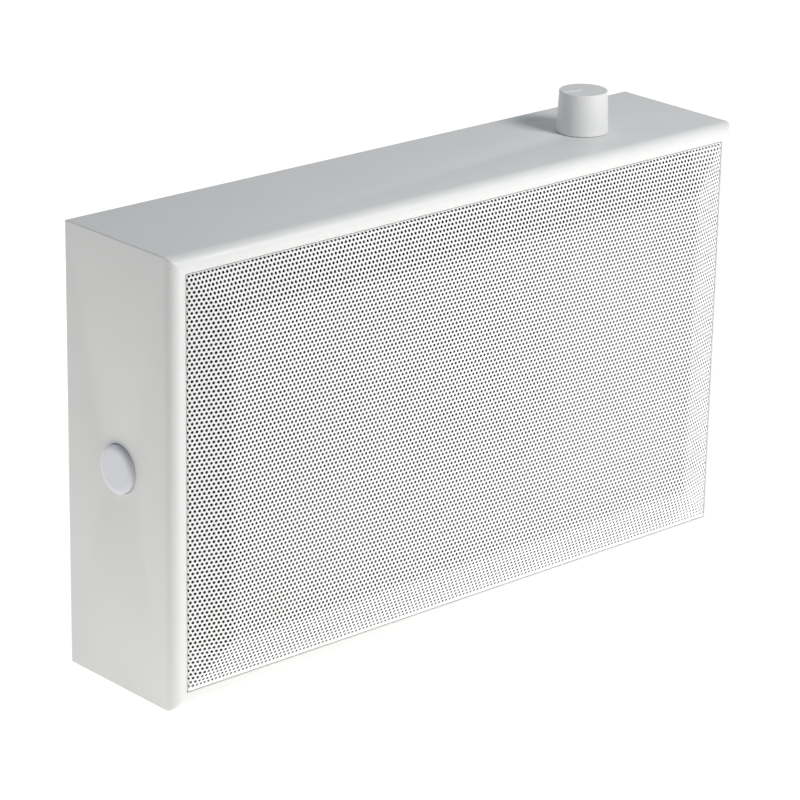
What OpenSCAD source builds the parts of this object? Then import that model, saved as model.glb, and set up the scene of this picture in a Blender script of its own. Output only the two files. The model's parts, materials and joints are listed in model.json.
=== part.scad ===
// Wall speaker: a painted box with a formed, perforated metal front,
// a volume knob on its top and a round push button in its left side.
// Millimetres. +Z is up, +X is to the right, the front faces -Y.
// The origin is the centre of the cabinet's underside.

/* [Cabinet] */
// Outer width of the cabinet
cabinet_w = 386; // [376:1:430]
// Outer height of the cabinet
cabinet_h = 235; // [225:1:270]
// Depth of the cabinet, from the front lip to the wall
cabinet_d = 83; // [80:1:110]
// Thickness of the four cabinet walls
wall_t = 9; // [8:0.5:12]
// Radius of the rounding round the front edge
edge_r = 6; // [3:0.5:7]
// Thickness of the front baffle board
baffle_t = 9; // [7:0.5:12]
// Depth of the baffle's face behind the front lip
baffle_set = 10; // [8:0.5:12]
// Thickness of the rear panel
rear_t = 8; // [7.5:0.5:12]
// Gap between the rear panel and the cabinet walls
rear_gap = 0.3; // [0.2:0.05:0.6]
// Side of the square corner blocks inside the cabinet
block_s = 16; // [14:0.5:20]
// Free space between the magnet and the damping pad
pad_gap = 2; // [1.5:0.5:3]
// Width of the damping pad
pad_w = 150; // [120:1:190]
// Height of the damping pad
pad_h = 120; // [90:1:150]

/* [Grille] */
// Thickness of the grille's sheet
sheet_t = 1; // [0.8:0.1:1.5]
// Gap between the grille and the cabinet's lip
grille_gap = 0.5; // [0.3:0.1:1]
// Width of the grille's sloped border
border_w = 23; // [18:0.5:28]
// Height of the grille's flat field in front of the lip
grille_rise = 6.7; // [4:0.1:9]
// Holes in one row of the coarse pattern
hole_columns = 12; // [8:1:12]
// Rows of holes in the coarse pattern
hole_rows = 7; // [5:1:8]
// Diameter of one hole of the coarse pattern
hole_d = 19; // [14:0.5:20]
// Distance of the coarse pattern's outer holes from the grille's edge, to their middle
hole_margin = 18; // [15:1:24]
// Width of a grille bracket
bracket_w = 14; // [12:1:18]
// Leg of a grille bracket on the baffle
bracket_foot = 11; // [10:0.5:13]
// Height of a grille bracket along the grille's flange
bracket_h = 7; // [5:0.5:8]
// Sheet thickness of brackets and straps
bracket_t = 1.2; // [1:0.1:1.5]

/* [Loudspeaker] */
// Outer diameter of the loudspeaker's frame
frame_d = 165; // [160:1:172]
// Sheet thickness of the frame
frame_t = 1.2; // [1:0.1:1.5]
// Width of the frame's flange
flange_w = 12.5; // [11.5:0.1:14]
// Diameter of the frame's back tub
tub_d = 66.4; // [62:0.2:70]
// Depth of the frame behind the baffle's face
frame_depth = 30; // [28:0.5:33]
// Depth of the ledge that carries the spider
ledge_depth = 23.2; // [22:0.2:24]
// Width of the roll between the cone's edge and the flange
surround_w = 10; // [8:0.5:12]
// Thickness of the gasket on the flange
gasket_t = 2.4; // [2:0.1:3]
// Thickness of the cone paper
cone_t = 0.6; // [0.5:0.1:0.9]
// Outer diameter of the small inner cone
whizzer_d = 62; // [50:1:70]
// Outer diameter of the coil former
former_d = 26.2; // [25:0.2:28]
// Wall of the coil former
former_t = 0.4; // [0.3:0.1:0.6]
// Depth of the coil winding on its former
winding_t = 0.7; // [0.5:0.1:0.9]
// Air gap on each side of the coil
coil_gap = 0.5; // [0.4:0.1:0.8]
// Travel of the cone to each side of rest
cone_travel = 1.5; // [1:0.5:2]
// Outer diameter of the ring magnet
magnet_d = 72; // [66:1:80]
// Thickness of the ring magnet
magnet_t = 13; // [10:0.5:14]
// Thickness of the two pole plates
pole_plate_t = 5; // [4:0.5:6]

/* [Volume knob] */
// Distance of the knob's axis from the cabinet's right side
knob_from_right = 75.8; // [70:0.1:90]
// Distance of the knob's axis from the front lip
knob_from_front = 39.8; // [36:0.1:44]
// Diameter of the knob at its foot
knob_foot_d = 27.9; // [26:0.1:32]
// Diameter of the knob at its top
knob_top_d = 25.4; // [24:0.1:27]
// Height of the knob
knob_h = 22.2; // [20:0.1:26]
// Gap between the knob and the cabinet
knob_gap = 0.4; // [0.3:0.1:0.8]
// Rounding of the knob's top edge
knob_edge_r = 0.5; // [0.3:0.1:1]
// Wall of the knob's skirt
knob_wall = 2; // [1.6:0.1:2.5]
// Width of the pointer line
pointer_w = 0.9; // [0.6:0.1:1.4]
// Depth of the pointer line's inlay
pointer_depth = 0.5; // [0.3:0.1:0.8]
// Angle of the pointer line at rest, from +X towards +Y
pointer_angle = 170; // [150:1:200]
// Diameter of the volume control's shaft
shaft_d = 6; // [5:0.1:6.5]
// Diameter of the volume control's bushing
bushing_d = 9.6; // [9.2:0.1:11]
// Diameter of the volume control's body
control_d = 34; // [28:1:38]
// Height of the volume control's body
control_h = 20; // [16:1:24]
// Thickness of the washer under the nut
washer_t = 0.8; // [0.6:0.1:1]
// Thickness of the bushing's nut
nut_t = 2.2; // [1.8:0.1:2.4]
// Width across the nut's flats
nut_flats = 13; // [12:0.1:13.4]

/* [Side button] */
// Diameter of the button's cap
button_d = 25; // [22:0.1:28]
// Gap between the button and the hole in the cabinet
button_gap = 0.5; // [0.4:0.1:0.8]
// Height of the button's face above the cabinet
button_rise = 2.9; // [2.6:0.1:4]
// Width of the rounded rim round the button's face
button_rim = 3.2; // [2:0.1:4]
// Drop of the rounded rim from the face to the flank
button_rim_drop = 1.3; // [0.8:0.1:1.5]
// Travel of the button
button_travel = 2; // [1.5:0.1:2]
// Wall of the button's skirt
button_wall = 1.6; // [1.2:0.1:2]
// Outer diameter of the guide housing
housing_d = 34; // [33:0.5:36]
// Depth of the guide housing
housing_depth = 11; // [10:0.5:14]
// Length of the housing's fixing flange, up and down
housing_flange = 56; // [52:1:60]
// Diameter of the switch plunger
plunger_d = 6; // [5:0.1:6.5]
// Side of the square switch body
switch_s = 15; // [13:0.5:18]
// Depth of the switch body
switch_depth = 12; // [11:0.5:15]
// Wire of the button spring
spring_wire = 0.9; // [0.6:0.1:1]
// Turns of the button spring
spring_turns = 5; // [3:1:6]

/* [Transformer and terminals] */
// Width of the transformer's core
core_w = 42; // [36:1:46]
// Height of the transformer's core
core_h = 35; // [30:1:40]
// Thickness of the transformer's core stack
core_stack = 16; // [14:1:20]
// Distance of the transformer's centre from the cabinet's right side
transformer_from_right = 65; // [57:1:75]
// Width of the terminal recess in the rear panel
cup_w = 64; // [60:1:70]
// Height of the terminal recess in the rear panel
cup_h = 54; // [50:1:58]
// Depth of the terminal recess
cup_depth = 20; // [18:1:24]
// Wall of the terminal tray
cup_wall = 2; // [1.5:0.1:2.5]
// Distance of the terminal recess's centre from the cabinet's left side
cup_from_left = 71; // [69:1:75]
// Height of the terminal recess's centre above the underside
cup_z = 62; // [58:1:66]
// Outer diameter of the cable grommet
grommet_d = 13; // [11:0.5:15]
// Bore of the cable grommet
grommet_bore = 5; // [4.5:0.5:7]

/* [Hanging plates] */
// Distance between the two keyhole plates
plate_spacing = 280; // [270:1:290]
// Distance of the keyhole plates' centre from the cabinet's top
plate_from_top = 49; // [47:1:59]
// Width of a keyhole plate
plate_w = 24; // [22:1:28]
// Height of a keyhole plate
plate_h = 44; // [42:1:48]
// Thickness of a keyhole plate
plate_t = 1.5; // [1.2:0.1:2]
// Diameter of the keyhole's round opening
keyhole_d = 9; // [8:0.5:10]
// Width of the keyhole's slot
keyhole_slot = 4.6; // [4:0.1:5]

/* [Fasteners] */
// Shank diameter of the wood screws
screw_d = 3; // [2.8:0.1:3.5]
// Head diameter of the wood screws
screw_head_d = 6; // [5.4:0.1:6.4]
// Head height of the wood screws
screw_head_h = 2; // [1.6:0.1:2.4]
// Length of the rear panel's screws beyond the panel
rear_screw_grip = 10; // [8:0.5:14]
// Length of the loudspeaker's screws
driver_screw_l = 8; // [6:0.5:8]
// Length of the grille brackets' screws
bracket_screw_l = 7; // [5:0.5:7]
// Length of the transformer's screws
strap_screw_l = 7; // [5:0.5:8]
// Length of the button housing's screws beyond its flange
housing_screw_grip = 5; // [4:0.5:6]
// Length of the keyhole plates' screws beyond the plate
plate_screw_grip = 4.2; // [3.5:0.1:5]

/* [Fits] */
// Radial clearance of a shaft that turns or slides in its bore
running_fit = 0.05; // [0.03:0.01:0.1]
// Radial clearance of a screw in its pilot hole
pilot_fit = 0.05; // [0.02:0.01:0.1]
// Radial clearance of a screw or bushing that passes through a hole
pass_fit = 0.3; // [0.2:0.05:0.5]
// Clearance between a moving piece and a soft piece beside it
soft_gap = 0.35; // [0.3:0.05:0.5]
// Depth of a pilot hole beyond its screw's tip
pilot_spare = 0.7; // [0.5:0.1:1]

/* [Hidden] */

$fn = 96;
// Overshoot of a cut past the face that it opens
over = 1;
// Colours
white_paint = [0.90, 0.90, 0.89];
white_metal = [0.95, 0.95, 0.95];
white_plastic = [0.88, 0.89, 0.92];
black_paint = [0.10, 0.10, 0.11];
board_brown = [0.62, 0.48, 0.34];
zinc = [0.72, 0.73, 0.75];
brass_yellow = [0.78, 0.66, 0.35];
paper_grey = [0.25, 0.25, 0.27];
dark_plastic = [0.13, 0.13, 0.14];

// Planes and spaces of the cabinet
front_y = -cabinet_d / 2;
back_y = cabinet_d / 2;
open_w = cabinet_w - 2 * wall_t;
open_h = cabinet_h - 2 * wall_t;
baffle_front_y = front_y + baffle_set;
baffle_back_y = baffle_front_y + baffle_t;
rear_inner_y = back_y - rear_t;
rear_w = open_w - 2 * rear_gap;
rear_h = open_h - 2 * rear_gap;
block_length = rear_inner_y - baffle_back_y;
block_x = open_w / 2 - block_s / 2;
block_low_z = wall_t + block_s / 2;
block_high_z = cabinet_h - wall_t - block_s / 2;
screw_hole_r = screw_d / 2 + pilot_fit;
screw_pass_r = screw_d / 2 + pass_fit;

// Grille: slope of its border and what the sheet's thickness does to it
grille_w = open_w - 2 * grille_gap;
grille_h = open_h - 2 * grille_gap;
border_angle = atan(grille_rise / border_w);
hole_step_x = (grille_w - 2 * hole_margin) / (hole_columns - 1);
hole_step_z = (grille_h - 2 * hole_margin) / (hole_rows - 1);
bracket_x = grille_w / 2 - sheet_t - bracket_t;

// Loudspeaker, in its own frame: +Z to the front, 0 on the baffle's face
driver_z = cabinet_h / 2;
flange_id = frame_d - 2 * flange_w;
cone_d = flange_id - 2 * surround_w;
cutout_r = flange_id / 2 + frame_t + 0.8;
tub_r = tub_d / 2;
floor_z = -frame_depth;
ledge_z = -ledge_depth;
ledge_r = tub_r + 5.8;
former_r = former_d / 2;
winding_r = former_r + winding_t;
pole_r = former_r - former_t - coil_gap;
gap_bore_r = winding_r + coil_gap;
front_plate_z = floor_z - pole_plate_t;
magnet_z = front_plate_z - magnet_t;
back_plate_z = magnet_z - pole_plate_t;
cone_edge_z = 0.9;
cone_neck_z = -15.5;
cone_lip = 4;
cone_neck_r = former_r + 0.05;
former_top_z = cone_neck_z + 2;
former_low_z = front_plate_z - cone_travel - 1;
gasket_low_z = frame_t + 0.6;
gasket_r = frame_d / 2 - screw_head_d - 1;
frame_screw_r = frame_d / 2 - screw_head_d / 2 - 0.3;
magnet_back_y = baffle_front_y - back_plate_z;
pad_front_y = magnet_back_y + pad_gap;

// Volume control, in its own frame: 0 on the cabinet's top face
knob_x = cabinet_w / 2 - knob_from_right;
knob_y = front_y + knob_from_front;
knob_top_z = knob_gap + knob_h;
knob_roof = 2.6;
knob_boss_r = shaft_d / 2 + 2.6;
shaft_top_z = knob_top_z - knob_roof - 2.2;
knob_recess_top = washer_t + nut_t + 1;
pointer_out = knob_top_d / 2 - knob_edge_r - 0.4;
pointer_in = 0.6;

// Side button, in its own frame: +Z out of the left side, 0 on the side face
button_r = button_d / 2;
button_z = cabinet_h / 2;
button_face_r = button_r - button_rim;
stop_r = button_r + 1.6;
stop_t = 1.4;
stop_top = -wall_t - soft_gap;
guide_r = stop_r + running_fit;
housing_end_t = 2;
housing_floor = -wall_t - housing_depth;
button_roof = 1.8;
button_inner_top = button_rise - button_rim_drop - button_roof;
plunger_boss_r = plunger_d / 2 + 1.8;
plunger_low = housing_floor - 6;
plunger_top = button_inner_top - 1;
boss_low = -wall_t - 2;
switch_top = housing_floor;
spring_r = (plunger_boss_r + button_r - button_wall) / 2;
housing_screw_r = (housing_d + housing_flange) / 4;
housing_flange_w = housing_d + 2;
housing_flange_t = 2.5;

// Transformer
transformer_x = cabinet_w / 2 - transformer_from_right;
core_leg = core_w / 3;
core_yoke = core_w / 6;
winding_over = 7;
strap_foot = 12;
transformer_y = (baffle_back_y + rear_inner_y) / 2;

// Terminal recess
cup_x = -cabinet_w / 2 + cup_from_left;
tray_y = back_y - cup_depth;
block_body_w = 34;
block_body_h = 14;
block_body_d = 11;
port_step = 10;

// Keyhole plate
plate_z = cabinet_h - plate_from_top;
keyhole_drop = 7;
slot_top = 9;
pocket_depth = 5;
plate_screw_z = plate_h / 2 - 5;

// Places of the four corner blocks and the two middle blocks, as [x, z]
block_places = [
  for (x = [-block_x, 0, block_x])
    for (z = [block_low_z, block_high_z])
      [x, z]
];

// Moves its children to each point of a list of [x, z]
module at_places(places) {
  for (p = places)
    translate([p[0], 0, p[1]])
      children();
}

// Turns a piece whose +Z is outwards so that it points to the back
module facing_back(y) {
  translate([0, y, 0])
    rotate([-90, 0, 0])
      children();
}

// Turns a piece whose +Z is outwards so that it points to the front
module facing_front(y) {
  translate([0, y, 0])
    rotate([90, 0, 0])
      children();
}

// Frame of the loudspeaker
module at_driver() {
  translate([0, baffle_front_y, driver_z])
    rotate([90, 0, 0])
      children();
}

// Frame of the volume control
module at_knob() {
  translate([knob_x, knob_y, cabinet_h])
    children();
}

// Frame of the side button
module at_button() {
  translate([-cabinet_w / 2, 0, button_z])
    rotate([0, -90, 0])
      children();
}

// Wood screw with a cross recess: 0 is under a pan head or on a flush head
module wood_screw(length, flush = false) {
  shank_r = screw_d / 2;
  head_r = screw_head_d / 2;
  tip = screw_d;
  difference() {
    rotate_extrude($fn = 48)
      polygon(flush
        ? [[0, -length], [shank_r, tip - length], [shank_r, shank_r - head_r],
           [head_r, 0], [0, 0]]
        : [[0, -length], [shank_r, tip - length], [shank_r, 0], [head_r, 0],
           [head_r, screw_head_h / 2], [head_r - 0.8, screw_head_h],
           [0, screw_head_h]]);
    recess_z = (flush ? 0 : screw_head_h) - 0.9;
    for (turn = [0, 90])
      rotate([0, 0, turn])
        translate([-screw_head_d / 4, -0.3, recess_z])
          cube([screw_head_d / 2, 0.6, 2]);
  }
}

// Hole for a flush screw head, opening at 0 towards +Z
module flush_hole(depth) {
  head_r = screw_head_d / 2 + pilot_fit;
  hole_r = screw_d / 2 + pilot_fit;
  translate([0, 0, -depth])
    cylinder(h = depth + over, r = hole_r);
  rotate_extrude()
    polygon([[0, over], [head_r, over], [head_r, 0], [hole_r, hole_r - head_r],
             [0, hole_r - head_r]]);
}

// Outline of the box seen along one side, its two front corners rounded
module front_rounded(width) {
  difference() {
    translate([-width / 2, front_y])
      square([width, cabinet_d]);
    for (side = [-1, 1])
      translate([side * (width / 2 - edge_r), front_y + edge_r])
        difference() {
          translate([side > 0 ? 0 : -edge_r - over, -edge_r - over])
            square(edge_r + over);
          circle(edge_r);
        }
  }
}

// Solid block of the whole cabinet, with the front edge rounded all round
module cabinet_block() {
  intersection() {
    linear_extrude(cabinet_h)
      front_rounded(cabinet_w);
    translate([cabinet_w / 2, 0, cabinet_h / 2])
      rotate([0, -90, 0])
        linear_extrude(cabinet_w)
          front_rounded(cabinet_h);
  }
}

// One cabinet wall: the part of the block inside a mitred outline in X and Z
module mitred_wall(outline) {
  intersection() {
    cabinet_block();
    translate([0, back_y, 0])
      rotate([90, 0, 0])
        linear_extrude(cabinet_d)
          polygon(outline);
  }
}

// Outline of a level wall, its outer face at z and its inner face towards dir
function level_wall(z, dir) = [
  [-cabinet_w / 2 - over, z - dir * over],
  [cabinet_w / 2 + over, z - dir * over],
  [open_w / 2, z + dir * wall_t],
  [-open_w / 2, z + dir * wall_t]
];

// Outline of an upright wall on the side given by 1 or -1
function side_wall(side) = [
  [side * (cabinet_w / 2 + over), -over],
  [side * (cabinet_w / 2 + over), cabinet_h + over],
  [side * open_w / 2, cabinet_h - wall_t],
  [side * open_w / 2, wall_t]
];

module cabinet_top() {
  color(white_paint)
    difference() {
      mitred_wall(level_wall(cabinet_h, -1));
      at_knob()
        translate([0, 0, -wall_t - over])
          cylinder(h = wall_t + 2 * over, d = bushing_d + 2 * pass_fit);
    }
}

module cabinet_bottom() {
  color(white_paint)
    difference() {
      mitred_wall(level_wall(0, 1));
      transformer_holes();
    }
}

module cabinet_left() {
  color(white_paint)
    difference() {
      mitred_wall(side_wall(-1));
      at_button()
        translate([0, 0, -wall_t - over])
          cylinder(h = wall_t + 2 * over, r = button_r + button_gap);
      at_button()
        housing_screw_places()
          translate([0, 0, -wall_t - over])
            cylinder(h = over + housing_screw_grip + pilot_spare, r = screw_hole_r);
    }
}

module cabinet_right() {
  color(white_paint)
    mitred_wall(side_wall(1));
}

module corner_blocks() {
  color(board_brown)
    difference() {
      at_places(block_places)
        translate([-block_s / 2, baffle_back_y, -block_s / 2])
          cube([block_s, block_length, block_s]);
      at_places(block_places)
        facing_back(rear_inner_y)
          translate([0, 0, -rear_screw_grip - pilot_spare])
            cylinder(h = rear_screw_grip + pilot_spare + over, r = screw_hole_r);
    }
}

module baffle() {
  color(black_paint)
    difference() {
      translate([-open_w / 2, baffle_front_y, wall_t])
        cube([open_w, baffle_t, open_h]);
      at_driver()
        translate([0, 0, -baffle_t - over])
          cylinder(h = baffle_t + 2 * over, r = cutout_r);
      at_driver()
        driver_screw_places()
          translate([0, 0, -driver_screw_l - pilot_spare])
            cylinder(h = driver_screw_l + 2 * over, r = screw_hole_r);
      bracket_places()
        bracket_screw_axis()
          translate([0, 0, bracket_t - bracket_screw_l - pilot_spare])
            cylinder(h = bracket_screw_l + over, r = screw_hole_r);
    }
}

module rear_panel() {
  color(board_brown)
    difference() {
      translate([-rear_w / 2, rear_inner_y, wall_t + rear_gap])
        cube([rear_w, rear_t, rear_h]);
      at_places(block_places)
        facing_back(back_y)
          flush_hole(rear_t + over);
      translate([cup_x - cup_w / 2, rear_inner_y - over, cup_z - cup_h / 2])
        cube([cup_w, rear_t + 2 * over, cup_h]);
      tray_rim_seat();
      tray_screw_places()
        cylinder(h = 2 * (rear_t + over), r = screw_hole_r, center = true);
      plate_places()
        plate_pocket();
    }
}

module rear_screws() {
  color(zinc)
    at_places(block_places)
      facing_back(back_y)
        wood_screw(rear_t + rear_screw_grip, flush = true);
}

module damping_pad() {
  color([0.93, 0.93, 0.90])
    translate([-pad_w / 2 + 10, pad_front_y, driver_z - pad_h / 2])
      cube([pad_w, rear_inner_y - pad_front_y, pad_h]);
}

// Profile of the grille along one side, made smaller by inset all round:
// a flat field, two sloped borders and a straight flange to the baffle
module tray_profile(width, inset) {
  foot_y = front_y + inset * (1 - sin(border_angle)) / cos(border_angle);
  field_y = front_y - grille_rise + inset;
  shoulder = width / 2 - border_w
    - inset * (1 / cos(border_angle) - 1) / tan(border_angle);
  foot = width / 2 - inset;
  deep_y = baffle_front_y + (inset > 0 ? over : 0);
  polygon([
    [-foot, deep_y], [-foot, foot_y], [-shoulder, field_y],
    [shoulder, field_y], [foot, foot_y], [foot, deep_y]
  ]);
}

// Solid of the formed grille, made smaller by inset all round
module tray_solid(inset) {
  intersection() {
    translate([0, 0, driver_z - grille_h / 2])
      linear_extrude(grille_h)
        tray_profile(grille_w, inset);
    translate([grille_w / 2, 0, driver_z])
      rotate([0, -90, 0])
        linear_extrude(grille_w)
          tray_profile(grille_h, inset);
  }
}

module grille() {
  first_x = hole_margin - grille_w / 2;
  first_z = driver_z + hole_margin - grille_h / 2;
  color(white_metal)
    difference() {
      tray_solid(0);
      tray_solid(sheet_t);
      for (row = [0:hole_rows - 1])
        for (column = [0:hole_columns - 1])
          translate([
            first_x + column * hole_step_x,
            front_y + sheet_t,
            first_z + row * hole_step_z
          ])
            rotate([90, 0, 0])
              cylinder(h = sheet_t + grille_rise + over, d = hole_d, $fn = 36);
    }
}

// Four brackets: one near each end of the grille's short flanges
module bracket_places() {
  for (side = [-1, 1])
    for (end = [-1, 1])
      translate([side * bracket_x, baffle_front_y, driver_z + end * open_h / 3])
        scale([side, 1, 1])
          children();
}

// Frame of the screw in a bracket's foot: +Z to the front, 0 on the baffle
module bracket_screw_axis() {
  translate([-bracket_foot / 2 - 0.5, 0, 0])
    rotate([90, 0, 0])
      children();
}

module grille_brackets() {
  color(zinc)
    bracket_places()
      difference() {
        union() {
          translate([-bracket_foot, -bracket_t, -bracket_w / 2])
            cube([bracket_foot + bracket_t, bracket_t, bracket_w]);
          translate([0, -bracket_h, -bracket_w / 2])
            cube([bracket_t, bracket_h, bracket_w]);
        }
        bracket_screw_axis()
          cylinder(h = 4 * bracket_t, r = screw_pass_r, center = true);
      }
}

module bracket_screws() {
  color(zinc)
    bracket_places()
      bracket_screw_axis()
        translate([0, 0, bracket_t])
          wood_screw(bracket_screw_l);
}

// Four screws round the loudspeaker's flange
module driver_screw_places() {
  for (turn = [45:90:315])
    rotate([0, 0, turn])
      translate([frame_screw_r, 0, frame_t])
        children();
}

// Pressed frame: flange, sloped wall with four windows, ledge, tub and floor
module speaker_frame() {
  window_w = 44;
  wall_top_r = flange_id / 2;
  color(dark_plastic)
    at_driver()
      difference() {
        rotate_extrude()
          polygon([
            [frame_d / 2, 0], [wall_top_r + frame_t, 0],
            [ledge_r, ledge_z], [tub_r, ledge_z],
            [tub_r, floor_z], [gap_bore_r + 0.4, floor_z],
            [gap_bore_r + 0.4, floor_z + frame_t],
            [tub_r - frame_t, floor_z + frame_t],
            [tub_r - frame_t, ledge_z + frame_t],
            [ledge_r - 0.6, ledge_z + frame_t],
            [wall_top_r, frame_t], [frame_d / 2, frame_t]
          ]);
        driver_screw_places()
          cylinder(h = 4 * frame_t, r = screw_pass_r, center = true);
        for (turn = [0:90:270])
          rotate([0, 0, turn])
            translate([ledge_r + 1.5, -window_w / 2, ledge_z + 2])
              cube([wall_top_r - ledge_r, window_w, ledge_depth - 5]);
      }
}

module speaker_gasket() {
  color(paper_grey)
    at_driver()
      translate([0, 0, gasket_low_z])
        difference() {
          cylinder(h = gasket_t, r = gasket_r);
          translate([0, 0, -over])
            cylinder(h = gasket_t + 2 * over, d = flange_id + 1);
        }
}

// Half roll between the cone's edge and the frame's flange
module cone_surround() {
  land_z = frame_t;
  film = 0.6;
  inner_land = cone_d / 2 - cone_lip + 0.4;
  roll_in = cone_d / 2 + 0.4;
  roll_out = flange_id / 2 + 0.4;
  roll_r = (roll_out - roll_in) / 2;
  roll_at = (roll_out + roll_in) / 2;
  color(paper_grey)
    at_driver()
      rotate_extrude()
        union() {
          intersection() {
            translate([roll_at, land_z])
              difference() {
                circle(roll_r, $fn = 48);
                circle(roll_r - film, $fn = 48);
              }
            translate([roll_in - over, land_z])
              square([2 * roll_r + 2 * over, roll_r + over]);
          }
          translate([roll_out - film, land_z])
            square([gasket_r - roll_out + film, film]);
          translate([inner_land, land_z + soft_gap - 0.3])
            square([roll_in + film - inner_land, film]);
        }
}

module speaker_cone() {
  rim_r = cone_d / 2;
  color([0.22, 0.22, 0.23])
    at_driver()
      rotate_extrude()
        polygon([
          [rim_r, cone_edge_z - cone_t], [rim_r, cone_edge_z],
          [rim_r - cone_lip, cone_edge_z],
          [cone_neck_r + 0.6, cone_neck_z + 1.2],
          [cone_neck_r, cone_neck_z + 1.2], [cone_neck_r, cone_neck_z],
          [cone_neck_r + 0.8, cone_neck_z],
          [rim_r - cone_lip + 0.4, cone_edge_z - cone_t]
        ]);
}

module whizzer_cone() {
  start_z = cone_neck_z + 1.25;
  color([0.30, 0.28, 0.25])
    at_driver()
      rotate_extrude()
        polygon([
          [cone_neck_r, start_z], [cone_neck_r + 0.6, start_z],
          [whizzer_d * 0.38, start_z + 8],
          [whizzer_d / 2, start_z + 13.5],
          [whizzer_d / 2 - 0.6, start_z + 13.8],
          [whizzer_d * 0.38 - 0.7, start_z + 8.4],
          [cone_neck_r, start_z + 0.8]
        ]);
}

// Shallow dome that closes the coil former
module dust_cap() {
  dome_r = former_r * 1.5;
  dome_low = sqrt(pow(dome_r, 2) - pow(former_r, 2));
  color([0.20, 0.20, 0.21])
    at_driver()
      translate([0, 0, former_top_z - dome_low])
        rotate_extrude()
          intersection() {
            difference() {
              circle(dome_r);
              circle(dome_r - 0.6);
            }
            translate([0, dome_low])
              square([former_r, dome_r]);
          }
}

module coil_former() {
  color(brass_yellow)
    at_driver()
      translate([0, 0, former_low_z])
        difference() {
          cylinder(h = former_top_z - former_low_z, r = former_r);
          translate([0, 0, -over])
            cylinder(h = former_top_z - former_low_z + 2 * over, r = former_r - former_t);
        }
}

module coil_winding() {
  color([0.70, 0.38, 0.20])
    at_driver()
      translate([0, 0, former_low_z])
        difference() {
          cylinder(h = pole_plate_t + 4, r = winding_r);
          translate([0, 0, -over])
            cylinder(h = pole_plate_t + 4 + 2 * over, r = former_r);
        }
}

// Corrugated disc on the frame's ledge that centres the coil
module spider() {
  inner_r = former_r + soft_gap;
  outer_r = ledge_r - 1;
  film = 0.6;
  waves = 3;
  steps = 24;
  wave_h = 1.1;
  seat_z = ledge_z + frame_t;
  flat_from = tub_r - frame_t - 1;
  top = [
    for (i = [0:steps])
      [inner_r + (flat_from - inner_r) * i / steps,
       seat_z + film + wave_h * (1 - cos(360 * waves * i / steps)) / 2]
  ];
  low = [for (i = [steps:-1:0]) [top[i][0], top[i][1] - film]];
  color([0.75, 0.62, 0.40])
    at_driver()
      rotate_extrude()
        polygon(concat(top, [[outer_r, seat_z + film], [outer_r, seat_z]], low));
}

module front_pole_plate() {
  color(zinc)
    at_driver()
      translate([0, 0, front_plate_z])
        difference() {
          cylinder(h = pole_plate_t, r = tub_r - 1);
          translate([0, 0, -over])
            cylinder(h = pole_plate_t + 2 * over, r = gap_bore_r);
        }
}

module ring_magnet() {
  color([0.20, 0.20, 0.21])
    at_driver()
      translate([0, 0, magnet_z])
        difference() {
          cylinder(h = magnet_t, d = magnet_d);
          translate([0, 0, -over])
            cylinder(h = magnet_t + 2 * over, r = gap_bore_r + 3);
        }
}

module back_pole_plate() {
  color(zinc)
    at_driver()
      union() {
        translate([0, 0, back_plate_z])
          cylinder(h = pole_plate_t, r = tub_r - 1);
        translate([0, 0, back_plate_z])
          cylinder(h = floor_z - back_plate_z, r = pole_r);
      }
}

module speaker_screws() {
  color(zinc)
    at_driver()
      driver_screw_places()
        wood_screw(driver_screw_l);
}

// Tag strip on the frame's tub, with two solder tags
module speaker_terminals() {
  strip_z = floor_z + 1;
  color(board_brown)
    at_driver()
      difference() {
        union() {
          translate([tub_r - 1, -9, strip_z])
            cube([3, 18, 5]);
          for (side = [-1, 1])
            translate([tub_r + 1, side * 5 - 1.5, strip_z + 1.5])
              cube([7, 3, 0.8]);
        }
        translate([0, 0, floor_z - over])
          cylinder(h = frame_depth, r = tub_r);
      }
}

// Quarter circle that rounds the knob's top edge
function knob_edge_points(steps) = [
  for (i = [0:steps])
    [knob_top_d / 2 - knob_edge_r * (1 - cos(90 * i / steps)),
     knob_top_z - knob_edge_r * (1 - sin(90 * i / steps))]
];

// Moulded knob: tapered skirt, roof, boss with a bore and four ribs
module volume_knob() {
  foot_r = knob_foot_d / 2;
  foot_edge = 0.3;
  rib_t = 1.2;
  rib_low = knob_recess_top + 2;
  hollow_top = knob_top_z - knob_roof;
  hollow_r = knob_top_d / 2 - knob_wall;
  color(white_plastic)
    at_knob()
      difference() {
        union() {
          rotate_extrude()
            polygon(concat(
              [[hollow_r, knob_gap], [foot_r - foot_edge, knob_gap],
               [foot_r, knob_gap + foot_edge]],
              knob_edge_points(4),
              [[0, knob_top_z], [0, hollow_top], [hollow_r, hollow_top]]));
          translate([0, 0, knob_recess_top])
            cylinder(h = hollow_top - knob_recess_top + over, r = knob_boss_r);
          for (turn = [0, 90])
            rotate([0, 0, turn + 45])
              translate([-hollow_r - over / 2, -rib_t / 2, rib_low])
                cube([2 * hollow_r + over, rib_t, hollow_top - rib_low + over]);
        }
        translate([0, 0, knob_recess_top - over])
          cylinder(h = shaft_top_z + 0.5 - knob_recess_top + over, r = shaft_d / 2 + 0.02);
        pointer_bar(over);
      }
}

// Bar of the pointer line, raised above the knob's top by extra
module pointer_bar(extra) {
  rotate([0, 0, pointer_angle])
    translate([pointer_in, -pointer_w / 2, knob_top_z - pointer_depth])
      cube([pointer_out - pointer_in, pointer_w, pointer_depth + extra]);
}

module knob_pointer() {
  color([0.98, 0.98, 0.98])
    at_knob()
      pointer_bar(0);
}

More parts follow.
